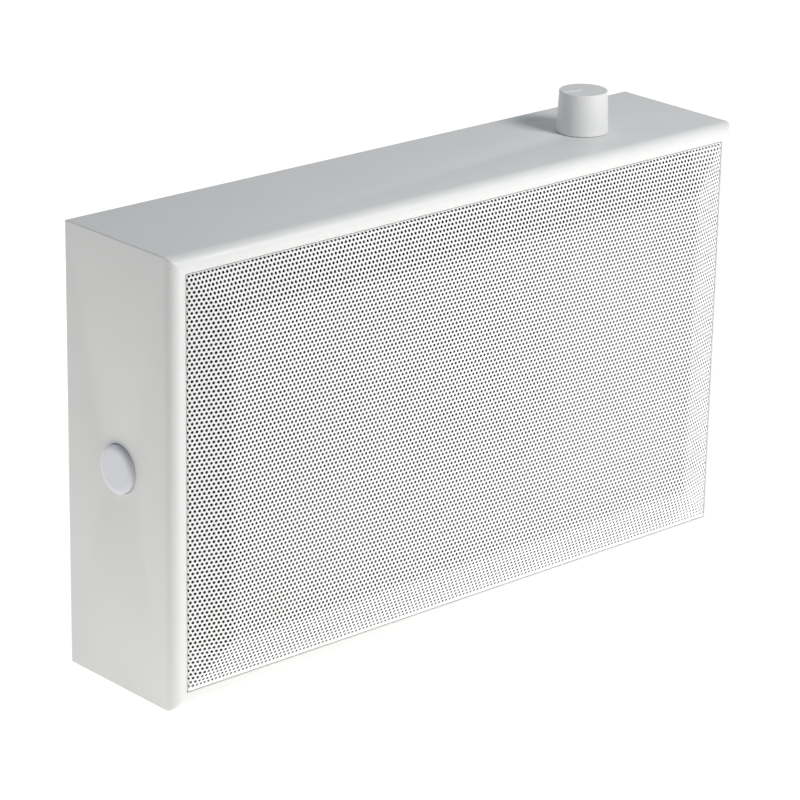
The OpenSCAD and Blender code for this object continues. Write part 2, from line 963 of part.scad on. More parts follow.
// Body under the cabinet's top, with a bushing that goes through it
module volume_control() {
  bushing_top = washer_t + nut_t + 0.3;
  color(dark_plastic)
    at_knob()
      difference() {
        union() {
          translate([0, 0, -wall_t - control_h])
            cylinder(h = control_h, d = control_d);
          translate([0, 0, -wall_t - 0.5])
            cylinder(h = wall_t + 0.5 + bushing_top, d = bushing_d);
          for (side = [-1, 0, 1])
            translate([side * 6 - 1.2, control_d / 2 - 2, -wall_t - control_h + 3])
              cube([2.4, 7, 0.8]);
        }
        translate([0, 0, -wall_t - 6])
          cylinder(h = 30, r = shaft_d / 2 + running_fit);
      }
}

module volume_shaft() {
  color(zinc)
    at_knob()
      translate([0, 0, -wall_t - 5])
        cylinder(h = shaft_top_z + wall_t + 5, d = shaft_d);
}

module control_washer() {
  color(zinc)
    at_knob()
      difference() {
        cylinder(h = washer_t, r = nut_flats / 2 + 2);
        translate([0, 0, -over])
          cylinder(h = washer_t + 2 * over, d = bushing_d + 2 * pilot_fit);
      }
}

module control_nut() {
  color(brass_yellow)
    at_knob()
      translate([0, 0, washer_t])
        difference() {
          cylinder(h = nut_t, r = nut_flats / 2 / cos(30), $fn = 6);
          translate([0, 0, -over])
            cylinder(h = nut_t + 2 * over, d = bushing_d + 2 * pilot_fit);
        }
}

// Quarter of an ellipse that rounds the button's rim
function rim_points(steps) = [
  for (i = [0:steps])
    [button_face_r + button_rim * sin(90 * i / steps),
     button_rise - button_rim_drop * (1 - cos(90 * i / steps))]
];

// Cap with its skirt, the stop ring behind the wall and the plunger's boss
module side_button() {
  skirt_low = stop_top - stop_t;
  inner_r = button_r - button_wall;
  color(white_plastic)
    at_button()
      difference() {
        union() {
          rotate_extrude()
            polygon(concat(
              [[0, button_rise]], rim_points(10),
              [[button_r, stop_top], [stop_r, stop_top], [stop_r, skirt_low],
               [inner_r, skirt_low], [inner_r, button_inner_top],
               [0, button_inner_top]]));
          translate([0, 0, boss_low])
            cylinder(h = button_inner_top - boss_low + 0.5, r = plunger_boss_r);
        }
        translate([0, 0, boss_low - over])
          cylinder(h = plunger_top - boss_low + over + 0.3, r = plunger_d / 2 + 0.02);
      }
}

// Coil spring between the housing's floor and the button's cap
module button_spring() {
  low_z = housing_floor + housing_end_t + spring_wire / 2 + 0.3;
  high_z = button_inner_top - spring_wire / 2 - 0.3;
  sides = 8;
  steps = 16 * spring_turns;
  turn_step = 360 / 16;
  rings = [
    for (i = [0:steps])
      let (
        a = i * turn_step,
        z = low_z + (high_z - low_z) * i / steps
      )
      [for (k = [0:sides - 1])
        let (
          b = 360 * k / sides,
          r = spring_r + spring_wire / 2 * cos(b)
        )
        [r * cos(a), r * sin(a), z + spring_wire / 2 * sin(b)]]
  ];
  points = [for (ring = rings) for (p = ring) p];
  walls = [
    for (i = [0:steps - 1])
      for (k = [0:sides - 1])
        let (
          next = (k + 1) % sides,
          a = i * sides + k,
          b = i * sides + next,
          c = (i + 1) * sides + next,
          d = (i + 1) * sides + k
        )
        each [[a, b, c], [a, c, d]]
  ];
  start_cap = [[for (k = [sides - 1:-1:0]) k]];
  end_cap = [[for (k = [0:sides - 1]) steps * sides + k]];
  color(zinc)
    at_button()
      polyhedron(points, concat(start_cap, walls, end_cap), convexity = 10);
}

// Two screws in the housing's flange, above and below the button
module housing_screw_places() {
  for (turn = [0, 180])
    rotate([0, 0, turn])
      translate([housing_screw_r, 0, 0])
        children();
}

module button_housing() {
  color(dark_plastic)
    at_button()
      difference() {
        union() {
          translate([0, 0, housing_floor])
            cylinder(h = housing_depth, d = housing_d);
          translate([-housing_flange / 2, -housing_flange_w / 2, -wall_t - housing_flange_t])
            cube([housing_flange, housing_flange_w, housing_flange_t]);
        }
        translate([0, 0, housing_floor + housing_end_t])
          cylinder(h = housing_depth, r = guide_r);
        translate([0, 0, housing_floor - over])
          cylinder(h = housing_depth, r = plunger_d / 2 + 0.4);
        housing_screw_places()
          translate([0, 0, -wall_t - housing_flange_t - over])
            cylinder(h = housing_flange_t + 2 * over, r = screw_pass_r);
      }
}

module housing_screws() {
  color(zinc)
    at_button()
      housing_screw_places()
        translate([0, 0, -wall_t - housing_flange_t])
          rotate([180, 0, 0])
            wood_screw(housing_flange_t + housing_screw_grip);
}

// Switch on the housing's floor: case, plunger bore and three tags
module push_switch() {
  color(dark_plastic)
    at_button()
      difference() {
        union() {
          translate([-switch_s / 2, -switch_s / 2, switch_top - switch_depth])
            cube([switch_s, switch_s, switch_depth]);
          for (side = [-1, 0, 1])
            translate([side * 4 - 0.4, -1.2, switch_top - switch_depth - 5])
              cube([0.8, 2.4, 6]);
        }
        translate([0, 0, plunger_low - button_travel - 0.5])
          cylinder(h = 30, r = plunger_d / 2 + running_fit);
      }
}

module switch_plunger() {
  color(white_plastic)
    at_button()
      translate([0, 0, plunger_low])
        cylinder(h = plunger_top - plunger_low, d = plunger_d);
}

// Frame of the transformer: 0 on the cabinet's floor, core centred
module at_transformer() {
  translate([transformer_x, transformer_y, wall_t])
    children();
}

// Screws through the strap's two feet
module strap_screw_places() {
  for (side = [-1, 1])
    translate([side * (core_w / 2 + strap_foot / 2 + bracket_t), 0, bracket_t])
      children();
}

module transformer_holes() {
  at_transformer()
    strap_screw_places()
      translate([0, 0, -strap_screw_l - pilot_spare])
        cylinder(h = strap_screw_l + pilot_spare + over, r = screw_hole_r);
}

// Laminated core with two windows
module transformer_core() {
  window_w = (core_w - core_leg - 2 * core_yoke) / 2;
  color([0.45, 0.46, 0.48])
    at_transformer()
      difference() {
        translate([-core_w / 2, -core_stack / 2, 0])
          cube([core_w, core_stack, core_h]);
        for (side = [-1, 1])
          translate([side * (core_leg + window_w) / 2, 0, core_h / 2])
            cube([window_w, core_stack + 2 * over, core_h - 2 * core_yoke], center = true);
      }
}

// Bobbin and winding round the core's middle leg
module transformer_winding() {
  window_w = (core_w - core_leg - 2 * core_yoke) / 2;
  play = 0.1;
  color([0.80, 0.55, 0.20])
    at_transformer()
      translate([0, 0, core_h / 2])
        difference() {
          cube([
            core_leg + 2 * window_w - 2 * play,
            core_stack + 2 * winding_over,
            core_h - 2 * core_yoke - 2 * play
          ], center = true);
          cube([core_leg + 2 * play, core_stack + 2 * play, core_h], center = true);
        }
}

// Strap over the core with a foot on each side
module transformer_strap() {
  half = core_w / 2;
  reach = half + bracket_t + strap_foot;
  color(zinc)
    at_transformer()
      difference() {
        rotate([90, 0, 0])
          translate([0, 0, -core_stack / 2])
            linear_extrude(core_stack)
              polygon([
                [-reach, 0], [-half, 0], [-half, core_h], [half, core_h],
                [half, 0], [reach, 0], [reach, bracket_t],
                [half + bracket_t, bracket_t],
                [half + bracket_t, core_h + bracket_t],
                [-half - bracket_t, core_h + bracket_t],
                [-half - bracket_t, bracket_t], [-reach, bracket_t]
              ]);
        strap_screw_places()
          cylinder(h = 4 * bracket_t, r = screw_pass_r, center = true);
      }
}

module transformer_screws() {
  color(zinc)
    at_transformer()
      strap_screw_places()
        wood_screw(strap_screw_l);
}

// Rim of the terminal tray, let into the rear panel's outer face
module tray_rim_seat() {
  rim = 8;
  translate([cup_x - cup_w / 2 - rim, back_y - cup_wall, cup_z - cup_h / 2 - rim])
    cube([cup_w + 2 * rim, cup_wall + over, cup_h + 2 * rim]);
}

// Frames of the tray's four screws: +Z to the back, 0 on the outer face
module tray_screw_places() {
  for (side = [-1, 1])
    for (end = [-1, 1])
      translate([cup_x + side * (cup_w / 2 + 4), back_y, cup_z + end * (cup_h / 2 + 4)])
        rotate([-90, 0, 0])
          children();
}

// Open tray that holds the terminals, with a rim round its mouth
module terminal_tray() {
  rim = 8;
  play = 0.2;
  color(dark_plastic)
    difference() {
      union() {
        translate([cup_x - cup_w / 2 + play, tray_y, cup_z - cup_h / 2 + play])
          cube([cup_w - 2 * play, cup_depth, cup_h - 2 * play]);
        translate([
          cup_x - cup_w / 2 - rim + play,
          back_y - cup_wall,
          cup_z - cup_h / 2 - rim + play
        ])
          cube([cup_w + 2 * (rim - play), cup_wall, cup_h + 2 * (rim - play)]);
      }
      translate([
        cup_x - cup_w / 2 + cup_wall,
        tray_y + cup_wall,
        cup_z - cup_h / 2 + cup_wall
      ])
        cube([cup_w - 2 * cup_wall, cup_depth, cup_h - 2 * cup_wall]);
      tray_screw_places()
        flush_hole(cup_wall + over);
      grommet_place()
        cylinder(h = 4 * cup_wall, d = grommet_d - 3, center = true);
    }
}

module tray_screws() {
  color(zinc)
    tray_screw_places()
      wood_screw(rear_t - 0.5, flush = true);
}

// Frame of the grommet: +Z to the back, 0 in the middle of the tray's floor
module grommet_place() {
  translate([cup_x + cup_w / 4, tray_y + cup_wall / 2, cup_z - cup_h / 4])
    rotate([-90, 0, 0])
      children();
}

// Rubber ring with a groove that grips the edge of the tray's hole
module cable_grommet() {
  lip = 1.6;
  groove_r = grommet_d / 2 - 1.5 - 0.05;
  half = cup_wall / 2 + 0.05;
  color([0.08, 0.08, 0.08])
    grommet_place()
      rotate_extrude()
        polygon([
          [grommet_bore / 2, -half - lip], [grommet_d / 2 - 0.6, -half - lip],
          [grommet_d / 2, -half - lip + 0.6], [grommet_d / 2, -half],
          [groove_r, -half], [groove_r, half], [grommet_d / 2, half],
          [grommet_d / 2, half + lip - 0.6], [grommet_d / 2 - 0.6, half + lip],
          [grommet_bore / 2, half + lip]
        ]);
}

// Frame of the terminal block: +Z to the back, 0 on the tray's floor
module at_block() {
  translate([cup_x, tray_y + cup_wall, cup_z + cup_h / 5])
    rotate([-90, 0, 0])
      children();
}

// Ports of the terminal block, side by side
module port_places() {
  for (i = [-1:1])
    translate([i * port_step, 0, 0])
      children();
}

// Three-way block: a screw well and a wire port for each way
module terminal_block() {
  color([0.86, 0.86, 0.82])
    at_block()
      difference() {
        translate([-block_body_w / 2, -block_body_h / 2, 0])
          cube([block_body_w, block_body_h, block_body_d]);
        port_places()
          translate([0, 0, 4])
            cylinder(h = block_body_d, r = 2.4);
        port_places()
          translate([-2, 3, 3])
            cube([4, block_body_h, 5]);
      }
}

module terminal_screws() {
  color(brass_yellow)
    at_block()
      port_places()
        difference() {
          translate([0, 0, 4])
            cylinder(h = 5, r = 2.2);
          translate([-3, -0.4, 8])
            cube([6, 0.8, 2]);
        }
}

// Frames of the two keyhole plates: +Z to the back, 0 on the outer face
module plate_places() {
  for (side = [-1, 1])
    translate([side * plate_spacing / 2, back_y, plate_z])
      rotate([90, 0, 180])
        children();
}

// Keyhole outline: a round opening with a slot above it
module keyhole_outline(round_d, slot_w) {
  translate([0, -keyhole_drop])
    circle(d = round_d);
  translate([-slot_w / 2, -keyhole_drop])
    square([slot_w, keyhole_drop + slot_top - slot_w / 2]);
  translate([0, slot_top - slot_w / 2])
    circle(d = slot_w);
}

// Seat of the plate and the pocket behind it for the screw's head
module plate_pocket() {
  play = 0.1;
  translate([-plate_w / 2 - play, -plate_h / 2 - play, -plate_t])
    cube([plate_w + 2 * play, plate_h + 2 * play, plate_t + over]);
  translate([0, 0, -plate_t - pocket_depth])
    linear_extrude(pocket_depth + over)
      keyhole_outline(keyhole_d + 1, keyhole_d + 1);
  for (end = [-1, 1])
    translate([0, end * plate_screw_z, -plate_t - plate_screw_grip - pilot_spare])
      cylinder(h = plate_screw_grip + plate_t + over, r = screw_hole_r);
}

module keyhole_plates() {
  color(zinc)
    plate_places()
      difference() {
        translate([-plate_w / 2, -plate_h / 2, -plate_t])
          cube([plate_w, plate_h, plate_t]);
        translate([0, 0, -plate_t - over])
          linear_extrude(plate_t + 2 * over)
            keyhole_outline(keyhole_d, keyhole_slot);
        for (end = [-1, 1])
          translate([0, end * plate_screw_z, 0])
            flush_hole(plate_t + over);
      }
}

module plate_screws() {
  color(zinc)
    plate_places()
      for (end = [-1, 1])
        translate([0, end * plate_screw_z, 0])
          wood_screw(plate_t + plate_screw_grip, flush = true);
}

cabinet_top();
cabinet_bottom();
cabinet_left();
cabinet_right();
corner_blocks();
baffle();
rear_panel();
rear_screws();
damping_pad();
grille();
grille_brackets();
bracket_screws();
speaker_frame();
speaker_gasket();
cone_surround();
speaker_cone();
whizzer_cone();
dust_cap();
coil_former();
coil_winding();
spider();
front_pole_plate();
ring_magnet();
back_pole_plate();
speaker_screws();
speaker_terminals();
volume_knob();
knob_pointer();
volume_control();
volume_shaft();
control_washer();
control_nut();
side_button();
button_spring();
button_housing();
housing_screws();
push_switch();
switch_plunger();
transformer_core();
transformer_winding();
transformer_strap();
transformer_screws();
terminal_tray();
tray_screws();
terminal_block();
terminal_screws();
cable_grommet();
keyhole_plates();
plate_screws();
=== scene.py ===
"""Looks of the wall speaker: a finish for every part, and fine meshes for the painted walls,
the perforated front, the knob and the push button. Metres, in the part's own frame."""

import json
import math

import bpy
import numpy as np
from mathutils import Matrix, Vector


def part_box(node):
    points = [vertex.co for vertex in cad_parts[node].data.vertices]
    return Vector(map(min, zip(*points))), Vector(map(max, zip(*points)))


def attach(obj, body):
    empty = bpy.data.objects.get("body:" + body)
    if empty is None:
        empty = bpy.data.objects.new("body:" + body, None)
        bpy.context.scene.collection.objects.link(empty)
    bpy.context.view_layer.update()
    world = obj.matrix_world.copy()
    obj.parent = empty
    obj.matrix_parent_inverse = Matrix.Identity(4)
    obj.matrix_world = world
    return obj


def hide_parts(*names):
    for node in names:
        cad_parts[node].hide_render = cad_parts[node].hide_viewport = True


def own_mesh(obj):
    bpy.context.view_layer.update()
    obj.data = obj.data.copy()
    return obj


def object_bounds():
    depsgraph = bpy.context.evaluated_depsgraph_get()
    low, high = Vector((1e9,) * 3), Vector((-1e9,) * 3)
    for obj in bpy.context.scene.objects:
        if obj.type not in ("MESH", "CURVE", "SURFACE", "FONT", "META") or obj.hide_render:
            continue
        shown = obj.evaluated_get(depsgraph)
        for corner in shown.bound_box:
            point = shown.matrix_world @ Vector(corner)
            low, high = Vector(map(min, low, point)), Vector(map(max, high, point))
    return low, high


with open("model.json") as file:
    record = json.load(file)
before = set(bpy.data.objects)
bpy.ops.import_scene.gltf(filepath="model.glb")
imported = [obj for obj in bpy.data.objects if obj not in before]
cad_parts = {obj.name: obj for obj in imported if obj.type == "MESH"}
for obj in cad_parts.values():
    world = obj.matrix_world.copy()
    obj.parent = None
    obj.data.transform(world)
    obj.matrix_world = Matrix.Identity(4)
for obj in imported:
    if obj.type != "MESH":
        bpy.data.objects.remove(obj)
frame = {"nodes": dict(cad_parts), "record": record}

CAD_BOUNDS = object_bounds()
MM = 0.001
SMOOTH_ANGLE = 35.0

# Camera at the photograph's place, angles in degrees
CAMERA_PLACE = (-1.1930, -1.3099, 0.7531)
CAMERA_HEADING = 42.122
CAMERA_TILT = 19.983
CAMERA_ROLL = 1.009
CAMERA_LENS = 161.86
CAMERA_SENSOR = 36.0

# Studio. A world ramp is an axis, two directions along it and the strengths there. A glow edge is
# an axis across or along the line of sight, and the places where the floor is dim and bright
WORLD_COLOUR = (0.90, 0.95, 1.0)
WORLD_RAMPS = [("Z", 0.0, 1.0, 0.29, -0.02), ("Y", -0.8, 0.8, 0.0, 0.39)]
FLOOR_SIZE = 8.0
FLOOR_DROP = 0.2 * MM
FLOOR_COLOUR = (0.66, 0.65, 0.63)
GLOW_COLOUR = (1.0, 0.975, 0.935)
GLOW = 0.92
GLOW_FAR = 0.20
GLOW_EDGES = [("X", -1.7, -0.45), ("X", 1.5, 0.5), ("Y", -0.8, -0.27)]
KEY_TURN = 12.0
KEY_HEIGHT = 34.0
KEY_DISTANCE = 1.05
KEY_TARGET = (0.117, 0.0, 0.235)
KEY_SIZE = (0.4, 0.4)
KEY_POWER = 8.6
KEY_COLOUR = (1.0, 1.0, 1.0)
FILL_PLACE = (-1.25, 0.30, 0.16)
FILL_TARGET = (-0.19, 0.0, 0.07)
FILL_SIZE = (0.8, 0.5)
FILL_POWER = 0.35
FILL_COLOUR = (1.0, 0.97, 0.93)

# Cabinet
EDGE_RADIUS = 6.0 * MM
CORNER_RADIUS = 0.5 * MM
HOLD = 0.25 * MM
ROUND_STEPS = 16
CORNER_STEPS = 6
HOLE_EASE = 0.35 * MM
WASHER_RIM = 3.4 * MM
BUSHING_EASE = 0.2 * MM
CUT_PAST = 2.0 * MM

# Perforated front
HOLE_PITCH = 2.5 * MM
HOLE_RADIUS = 0.83 * MM
HOLE_SIDES = 10
HOLES_PER_ROW = 148
HOLE_ROWS = 100
FIRST_HOLE = 0.7 * MM
FIRST_ROW = 1.1 * MM
EDGE_BEND = 1.0 * MM
SHEET = 0.4 * MM
BORDER = 23.0 * MM
FOLD = 1.0 * MM
FIELD_BEND = 3.0 * MM
MITRE_BEND = 1.5 * MM
ROWS_PER_PANEL = 20
RIM_RINGS = 12
RIM_END = 1.2 * MM

# Knob, measured from its axis and the cabinet's top
KNOB_FOOT_RADIUS = 13.95 * MM
KNOB_TOP_RADIUS = 12.95 * MM
KNOB_GAP = 0.25 * MM
KNOB_EDGE = 0.5 * MM
KNOB_WALL = 2.0 * MM
KNOB_ROOF = 2.6 * MM
KNOB_FOOT_EASE = 0.3 * MM
POINTER_WIDTH = 0.9 * MM
POINTER_DEPTH = 0.8 * MM
POINTER_START = 0.6 * MM
POINTER_MARGIN = 0.4 * MM
POINTER_ANGLE = 170.0

# Button, measured from its axis and the cabinet's left side
BUTTON_RADIUS = 12.5 * MM
BUTTON_GAP = 0.2 * MM
BUTTON_RIM = 3.2 * MM
BUTTON_RIM_DROP = 1.3 * MM
BUTTON_WALL = 1.6 * MM
BUTTON_ROOF = 1.8 * MM
BUTTON_STOP = 1.4 * MM

LATHE_STEPS = 160


# Mesh helpers

def new_object(name, verts, faces, smooth_angle=SMOOTH_ANGLE):
    """Mesh object whose edges are sharp where its faces turn by more than the angle in degrees."""
    mesh = bpy.data.meshes.new(name)
    mesh.from_pydata([tuple(v) for v in verts], [], [tuple(f) for f in faces])
    mesh.update()
    obj = bpy.data.objects.new(name, mesh)
    bpy.context.scene.collection.objects.link(obj)
    smooth(obj, smooth_angle)
    return obj


def smooth(obj, angle):
    """Smooth shading with sharp edges above an angle in degrees."""
    mesh = obj.data
    mesh.polygons.foreach_set("use_smooth", [True] * len(mesh.polygons))
    mesh.set_sharp_from_angle(angle=math.radians(angle))
    mesh.update()


def triangle_object(name, verts, triangles, smooth_angle):
    """Mesh object from numpy arrays of points and triangles."""
    mesh = bpy.data.meshes.new(name)
    mesh.vertices.add(len(verts))
    mesh.vertices.foreach_set("co", np.asarray(verts, np.float32).ravel())
    mesh.loops.add(triangles.size)
    mesh.loops.foreach_set("vertex_index", triangles.astype(np.int32).ravel())
    mesh.polygons.add(len(triangles))
    mesh.polygons.foreach_set("loop_start", np.arange(0, triangles.size, 3, dtype=np.int32))
    mesh.update(calc_edges=True)
    mesh.validate()
    obj = bpy.data.objects.new(name, mesh)
    bpy.context.scene.collection.objects.link(obj)
    smooth(obj, smooth_angle)
    return obj


def lathe_object(name, profile, place, steps=LATHE_STEPS):
    """Closed solid of revolution. profile is [(radius, height)], and both ends may lie on the axis."""
    verts = []
    rings = []
    for radius, height in profile:
        if radius < 1e-9:
            rings.append([len(verts)])
            verts.append(place @ Vector((0, 0, height)))
            continue
        rings.append(list(range(len(verts), len(verts) + steps)))
        for i in range(steps):
            turn = 2 * math.pi * i / steps
            verts.append(place @ Vector((radius * math.cos(turn), radius * math.sin(turn), height)))
    faces = []
    closed = len(rings[0]) > 1 and len(rings[-1]) > 1
    pairs = list(zip(rings, rings[1:])) + ([(rings[-1], rings[0])] if closed else [])
    for low, high in pairs:
        for i in range(steps):
            j = (i + 1) % steps
            quad = [low[i % len(low)], low[j % len(low)], high[j % len(high)], high[i % len(high)]]
            faces.append(list(dict.fromkeys(quad)))
    return recalculated(new_object(name, verts, faces))


def recalculated(obj):
    """Turns every face of a closed mesh outwards."""
    import bmesh

    work = bmesh.new()
    work.from_mesh(obj.data)
    bmesh.ops.recalc_face_normals(work, faces=work.faces)
    work.to_mesh(obj.data)
    work.free()
    obj.data.update()
    return obj


def subtract(obj, cutter):
    """Cuts one closed mesh out of another and removes the cutter."""
    cut = obj.modifiers.new("cut", "BOOLEAN")
    cut.operation = "DIFFERENCE"
    cut.solver = "EXACT"
    cut.object = cutter
    bpy.context.view_layer.update()
    graph = bpy.context.evaluated_depsgraph_get()
    result = bpy.data.meshes.new_from_object(obj.evaluated_get(graph))
    obj.modifiers.clear()
    obj.data = result
    bpy.data.objects.remove(cutter)
    smooth(obj, SMOOTH_ANGLE)
    return obj


def bar_object(name, along, across, up, far_top, turn):
    """Bar between pairs of places on three axes, with a top that ends at another height far across."""
    section = [(across[0], up[0]), (across[0], up[1]), (across[1], up[0]), (across[1], far_top)]
    verts = [turn @ Vector((x, y, z)) for x in along for y, z in section]
    faces = [(0, 1, 3, 2), (4, 6, 7, 5), (0, 4, 5, 1), (2, 3, 7, 6), (0, 2, 6, 4), (1, 5, 7, 3)]
    return recalculated(new_object(name, verts, faces))


# Sizes read from the frame

def cabinet_sizes():
    """Outer box of the cabinet and the thickness of its walls."""
    left_low, left_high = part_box("cabinet_left")
    right_low, right_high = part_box("cabinet_right")
    top_low, top_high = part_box("cabinet_top")
    low = Vector((left_low.x, top_low.y, left_low.z))
    high = Vector((right_high.x, top_high.y, top_high.z))
    return low, high, left_high.x - left_low.x


# Cabinet walls

def rounded_rectangle(inset, radius, low, high):
    """Points [x, z] of a rectangle inset from the cabinet's outline, with small round corners
    and a holding point beside each corner, from the middle of the bottom side onwards."""
    x0, x1 = low.x + inset, high.x - inset
    z0, z1 = low.z + inset, high.z - inset
    corners = [(x1 - radius, z0 + radius, -90), (x1 - radius, z1 - radius, 0),
               (x0 + radius, z1 - radius, 90), (x0 + radius, z0 + radius, 180)]
    points = []
    for cx, cz, start in corners:
        first = math.radians(start)
        last = math.radians(start + 90)
        points.append((cx + radius * math.cos(first) + HOLD * math.sin(first),
                       cz + radius * math.sin(first) - HOLD * math.cos(first)))
        for i in range(CORNER_STEPS + 1):
            turn = first + (last - first) * i / CORNER_STEPS
            points.append((cx + radius * math.cos(turn), cz + radius * math.sin(turn)))
        points.append((cx + radius * math.cos(last) - HOLD * math.sin(last),
                       cz + radius * math.sin(last) + HOLD * math.cos(last)))
    return points


def shell_profile(low, high, wall):
    """Section of the walls, as [(inset, y)]: back, outer face, round front edge, lip, inner face."""
    ease = CORNER_RADIUS
    profile = [(wall, high.y), (ease + HOLD, high.y), (ease, high.y)]
    for i in range(1, 4):
        turn = math.radians(90 * i / 3)
        profile.append((ease * (1 - math.sin(turn)), high.y - ease * (1 - math.cos(turn))))
    profile.append((0.0, high.y - ease - HOLD))
    profile.append((0.0, low.y + EDGE_RADIUS + HOLD))
    for i in range(ROUND_STEPS + 1):
        turn = math.radians(90 * i / ROUND_STEPS)
        profile.append((EDGE_RADIUS * (1 - math.cos(turn)), low.y + EDGE_RADIUS * (1 - math.sin(turn))))
    profile.append((wall - ease - HOLD, low.y))
    for i in range(4):
        turn = math.radians(90 * i / 3)
        profile.append((wall - ease * (1 - math.sin(turn)), low.y + ease * (1 - math.cos(turn))))
    profile.append((wall, low.y + ease + HOLD))
    return profile


def wall_object(name, side, low, high, wall):
    """One mitred wall. side counts the corners anticlockwise from the bottom right one."""
    profile = shell_profile(low, high, wall)
    per_corner = CORNER_STEPS + 3
    half = per_corner // 2
    count = 4 * per_corner
    start = side * per_corner + half
    across = [(start + i) % count for i in range(per_corner + 1)]
    verts = []
    for inset, y in profile:
        outline = rounded_rectangle(inset, CORNER_RADIUS, low, high)
        for i in across:
            verts.append((outline[i][0], y, outline[i][1]))
    width = len(across)
    faces = []
    for k in range(len(profile)):
        this, after = k * width, ((k + 1) % len(profile)) * width
        for i in range(width - 1):
            faces.append((this + i, this + i + 1, after + i + 1, after + i))
    faces.append([k * width for k in range(len(profile))])
    faces.append([k * width + width - 1 for k in reversed(range(len(profile)))])
    obj = recalculated(new_object(name, verts, faces, 30.0))
    smooth(obj, 30.0)
    return obj


def knob_place():
    """Frame of the knob: +Z up, 0 on the cabinet's top face."""
    low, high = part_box("volume_shaft")
    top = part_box("cabinet_top")[1].z
    return Matrix.Translation(Vector(((low.x + high.x) / 2, (low.y + high.y) / 2, top)))


def button_place():
    """Frame of the button: +Z out of the cabinet's left side, 0 on that face."""
    low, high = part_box("switch_plunger")
    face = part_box("cabinet_left")[0].x
    middle = Vector((face, (low.y + high.y) / 2, (low.z + high.z) / 2))
    return Matrix.Translation(middle) @ Matrix.Rotation(math.radians(-90), 4, "Y")


def hole_cutter(name, radius, depth, ease, place):
    """Cutter for a round hole whose edge is eased where it meets the face at 0."""
    above = 4 * MM
    profile = [(0, above), (radius + ease, above), (radius + ease, 0.02 * MM)]
    for i in range(5):
        turn = math.radians(90 * i / 4)
        profile.append((radius + ease * (1 - math.sin(turn)), -ease * (1 - math.cos(turn))))
    profile += [(radius, -depth), (0, -depth)]
    return lathe_object(name, profile, place, 128)


def build_cabinet():
    """Four mitred, glued and painted walls, each its own piece."""
    low, high, wall = cabinet_sizes()
    names = ["cabinet_right", "cabinet_top", "cabinet_left", "cabinet_bottom"]
    for side, node in enumerate(names):
        obj = wall_object(node + "_board", side, low, high, wall)
        if node == "cabinet_top":
            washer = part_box("control_washer")
            bore = (washer[1].x - washer[0].x) / 2 - WASHER_RIM
            subtract(obj, hole_cutter("cut", bore, wall + CUT_PAST, BUSHING_EASE, knob_place()))
        if node == "cabinet_left":
            radius = BUTTON_RADIUS + BUTTON_GAP
            subtract(obj, hole_cutter("cut", radius, wall + CUT_PAST, HOLE_EASE, button_place()))
        dress(obj, "white_paint", "cabinet", node)


# Perforated front

def smooth_least(a, b, reach):
    """Smaller of two values, blended where they differ by less than reach."""
    near = np.maximum(reach - np.abs(a - b), 0) / reach
    return np.minimum(a, b) - near * near * reach / 4


class Sheet:
    """Formed sheet of the front: a flat field, four sloped borders, an edge bend and a flange.
    A point is given by its distances along the unrolled sheet, from the start of the left edge's
    bend and from the start of the top edge's bend."""

    def __init__(self):
        self.low, self.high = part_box("grille")
        self.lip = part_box("cabinet_top")[0].y
        self.rise = self.lip - self.low.y
        self.width = self.high.x - self.low.x
        self.height = self.high.z - self.low.z
        self.across = self.section(self.width)
        self.down = self.section(self.height)
        self.flange = self.high.y - self.lip - self.across[2][1]

    def section(self, span):
        """Half of a section, as rows: distance along the sheet, place from the edge, setback behind
        the slope's plane, and the two parts of the inward direction."""
        slope = math.atan(self.rise / BORDER)
        centre = EDGE_BEND * (math.cos(slope) - (1 - math.sin(slope)) * math.tan(slope))
        long = 50 * MM
        rows = [(-long, 0, centre + long, 1, 0)]
        for i in range(9):
            turn = (math.pi / 2 - slope) * i / 8
            place = EDGE_BEND * (1 - math.cos(turn))
            setback = centre - EDGE_BEND * math.sin(turn) + place * math.tan(slope)
            rows.append((EDGE_BEND * turn, place, setback, math.cos(turn), math.sin(turn)))
        along, place = rows[-1][:2]
        fold = along + (BORDER - place) / math.cos(slope)
        rows.append((fold - FOLD, BORDER - FOLD * math.cos(slope), 0, math.sin(slope), math.cos(slope)))
        rows.append((fold + FOLD, BORDER + FOLD, 0, 0, 1))
        rows.append((fold + span / 2 - BORDER, span / 2, 0, 0, 1))
        return np.array(rows).T

    def lie(self, along, section, span):
        """Place, setback and inward direction of points along one direction of the sheet."""
        middle = section[0][-1]
        near = np.minimum(along, 2 * middle - along)
        place, setback, inward, deeper = (np.interp(near, section[0], row) for row in section[1:])
        far = along > middle
        return np.where(far, span - place, place), setback, np.where(far, -inward, inward), deeper

    def points(self, along, down):
        """Outer and inner surface points of the sheet."""
        x, back_x, in_x, deep_x = self.lie(along, self.across, self.width)
        z, back_z, in_z, deep_z = self.lie(down, self.down, self.height)
        side = np.minimum(x, self.width - x)
        end = np.minimum(z, self.height - z)
        inset = smooth_least(smooth_least(side, end, MITRE_BEND), np.full_like(x, BORDER), FIELD_BEND)
        y = self.lip - self.rise / BORDER * np.maximum(inset, 0) + np.maximum(back_x, back_z)
        outer = np.stack([self.low.x + x, y, self.high.z - z], 1)
        inner = outer + SHEET * np.stack([in_x, np.minimum(deep_x, deep_z), -in_z], 1)
        return outer, inner


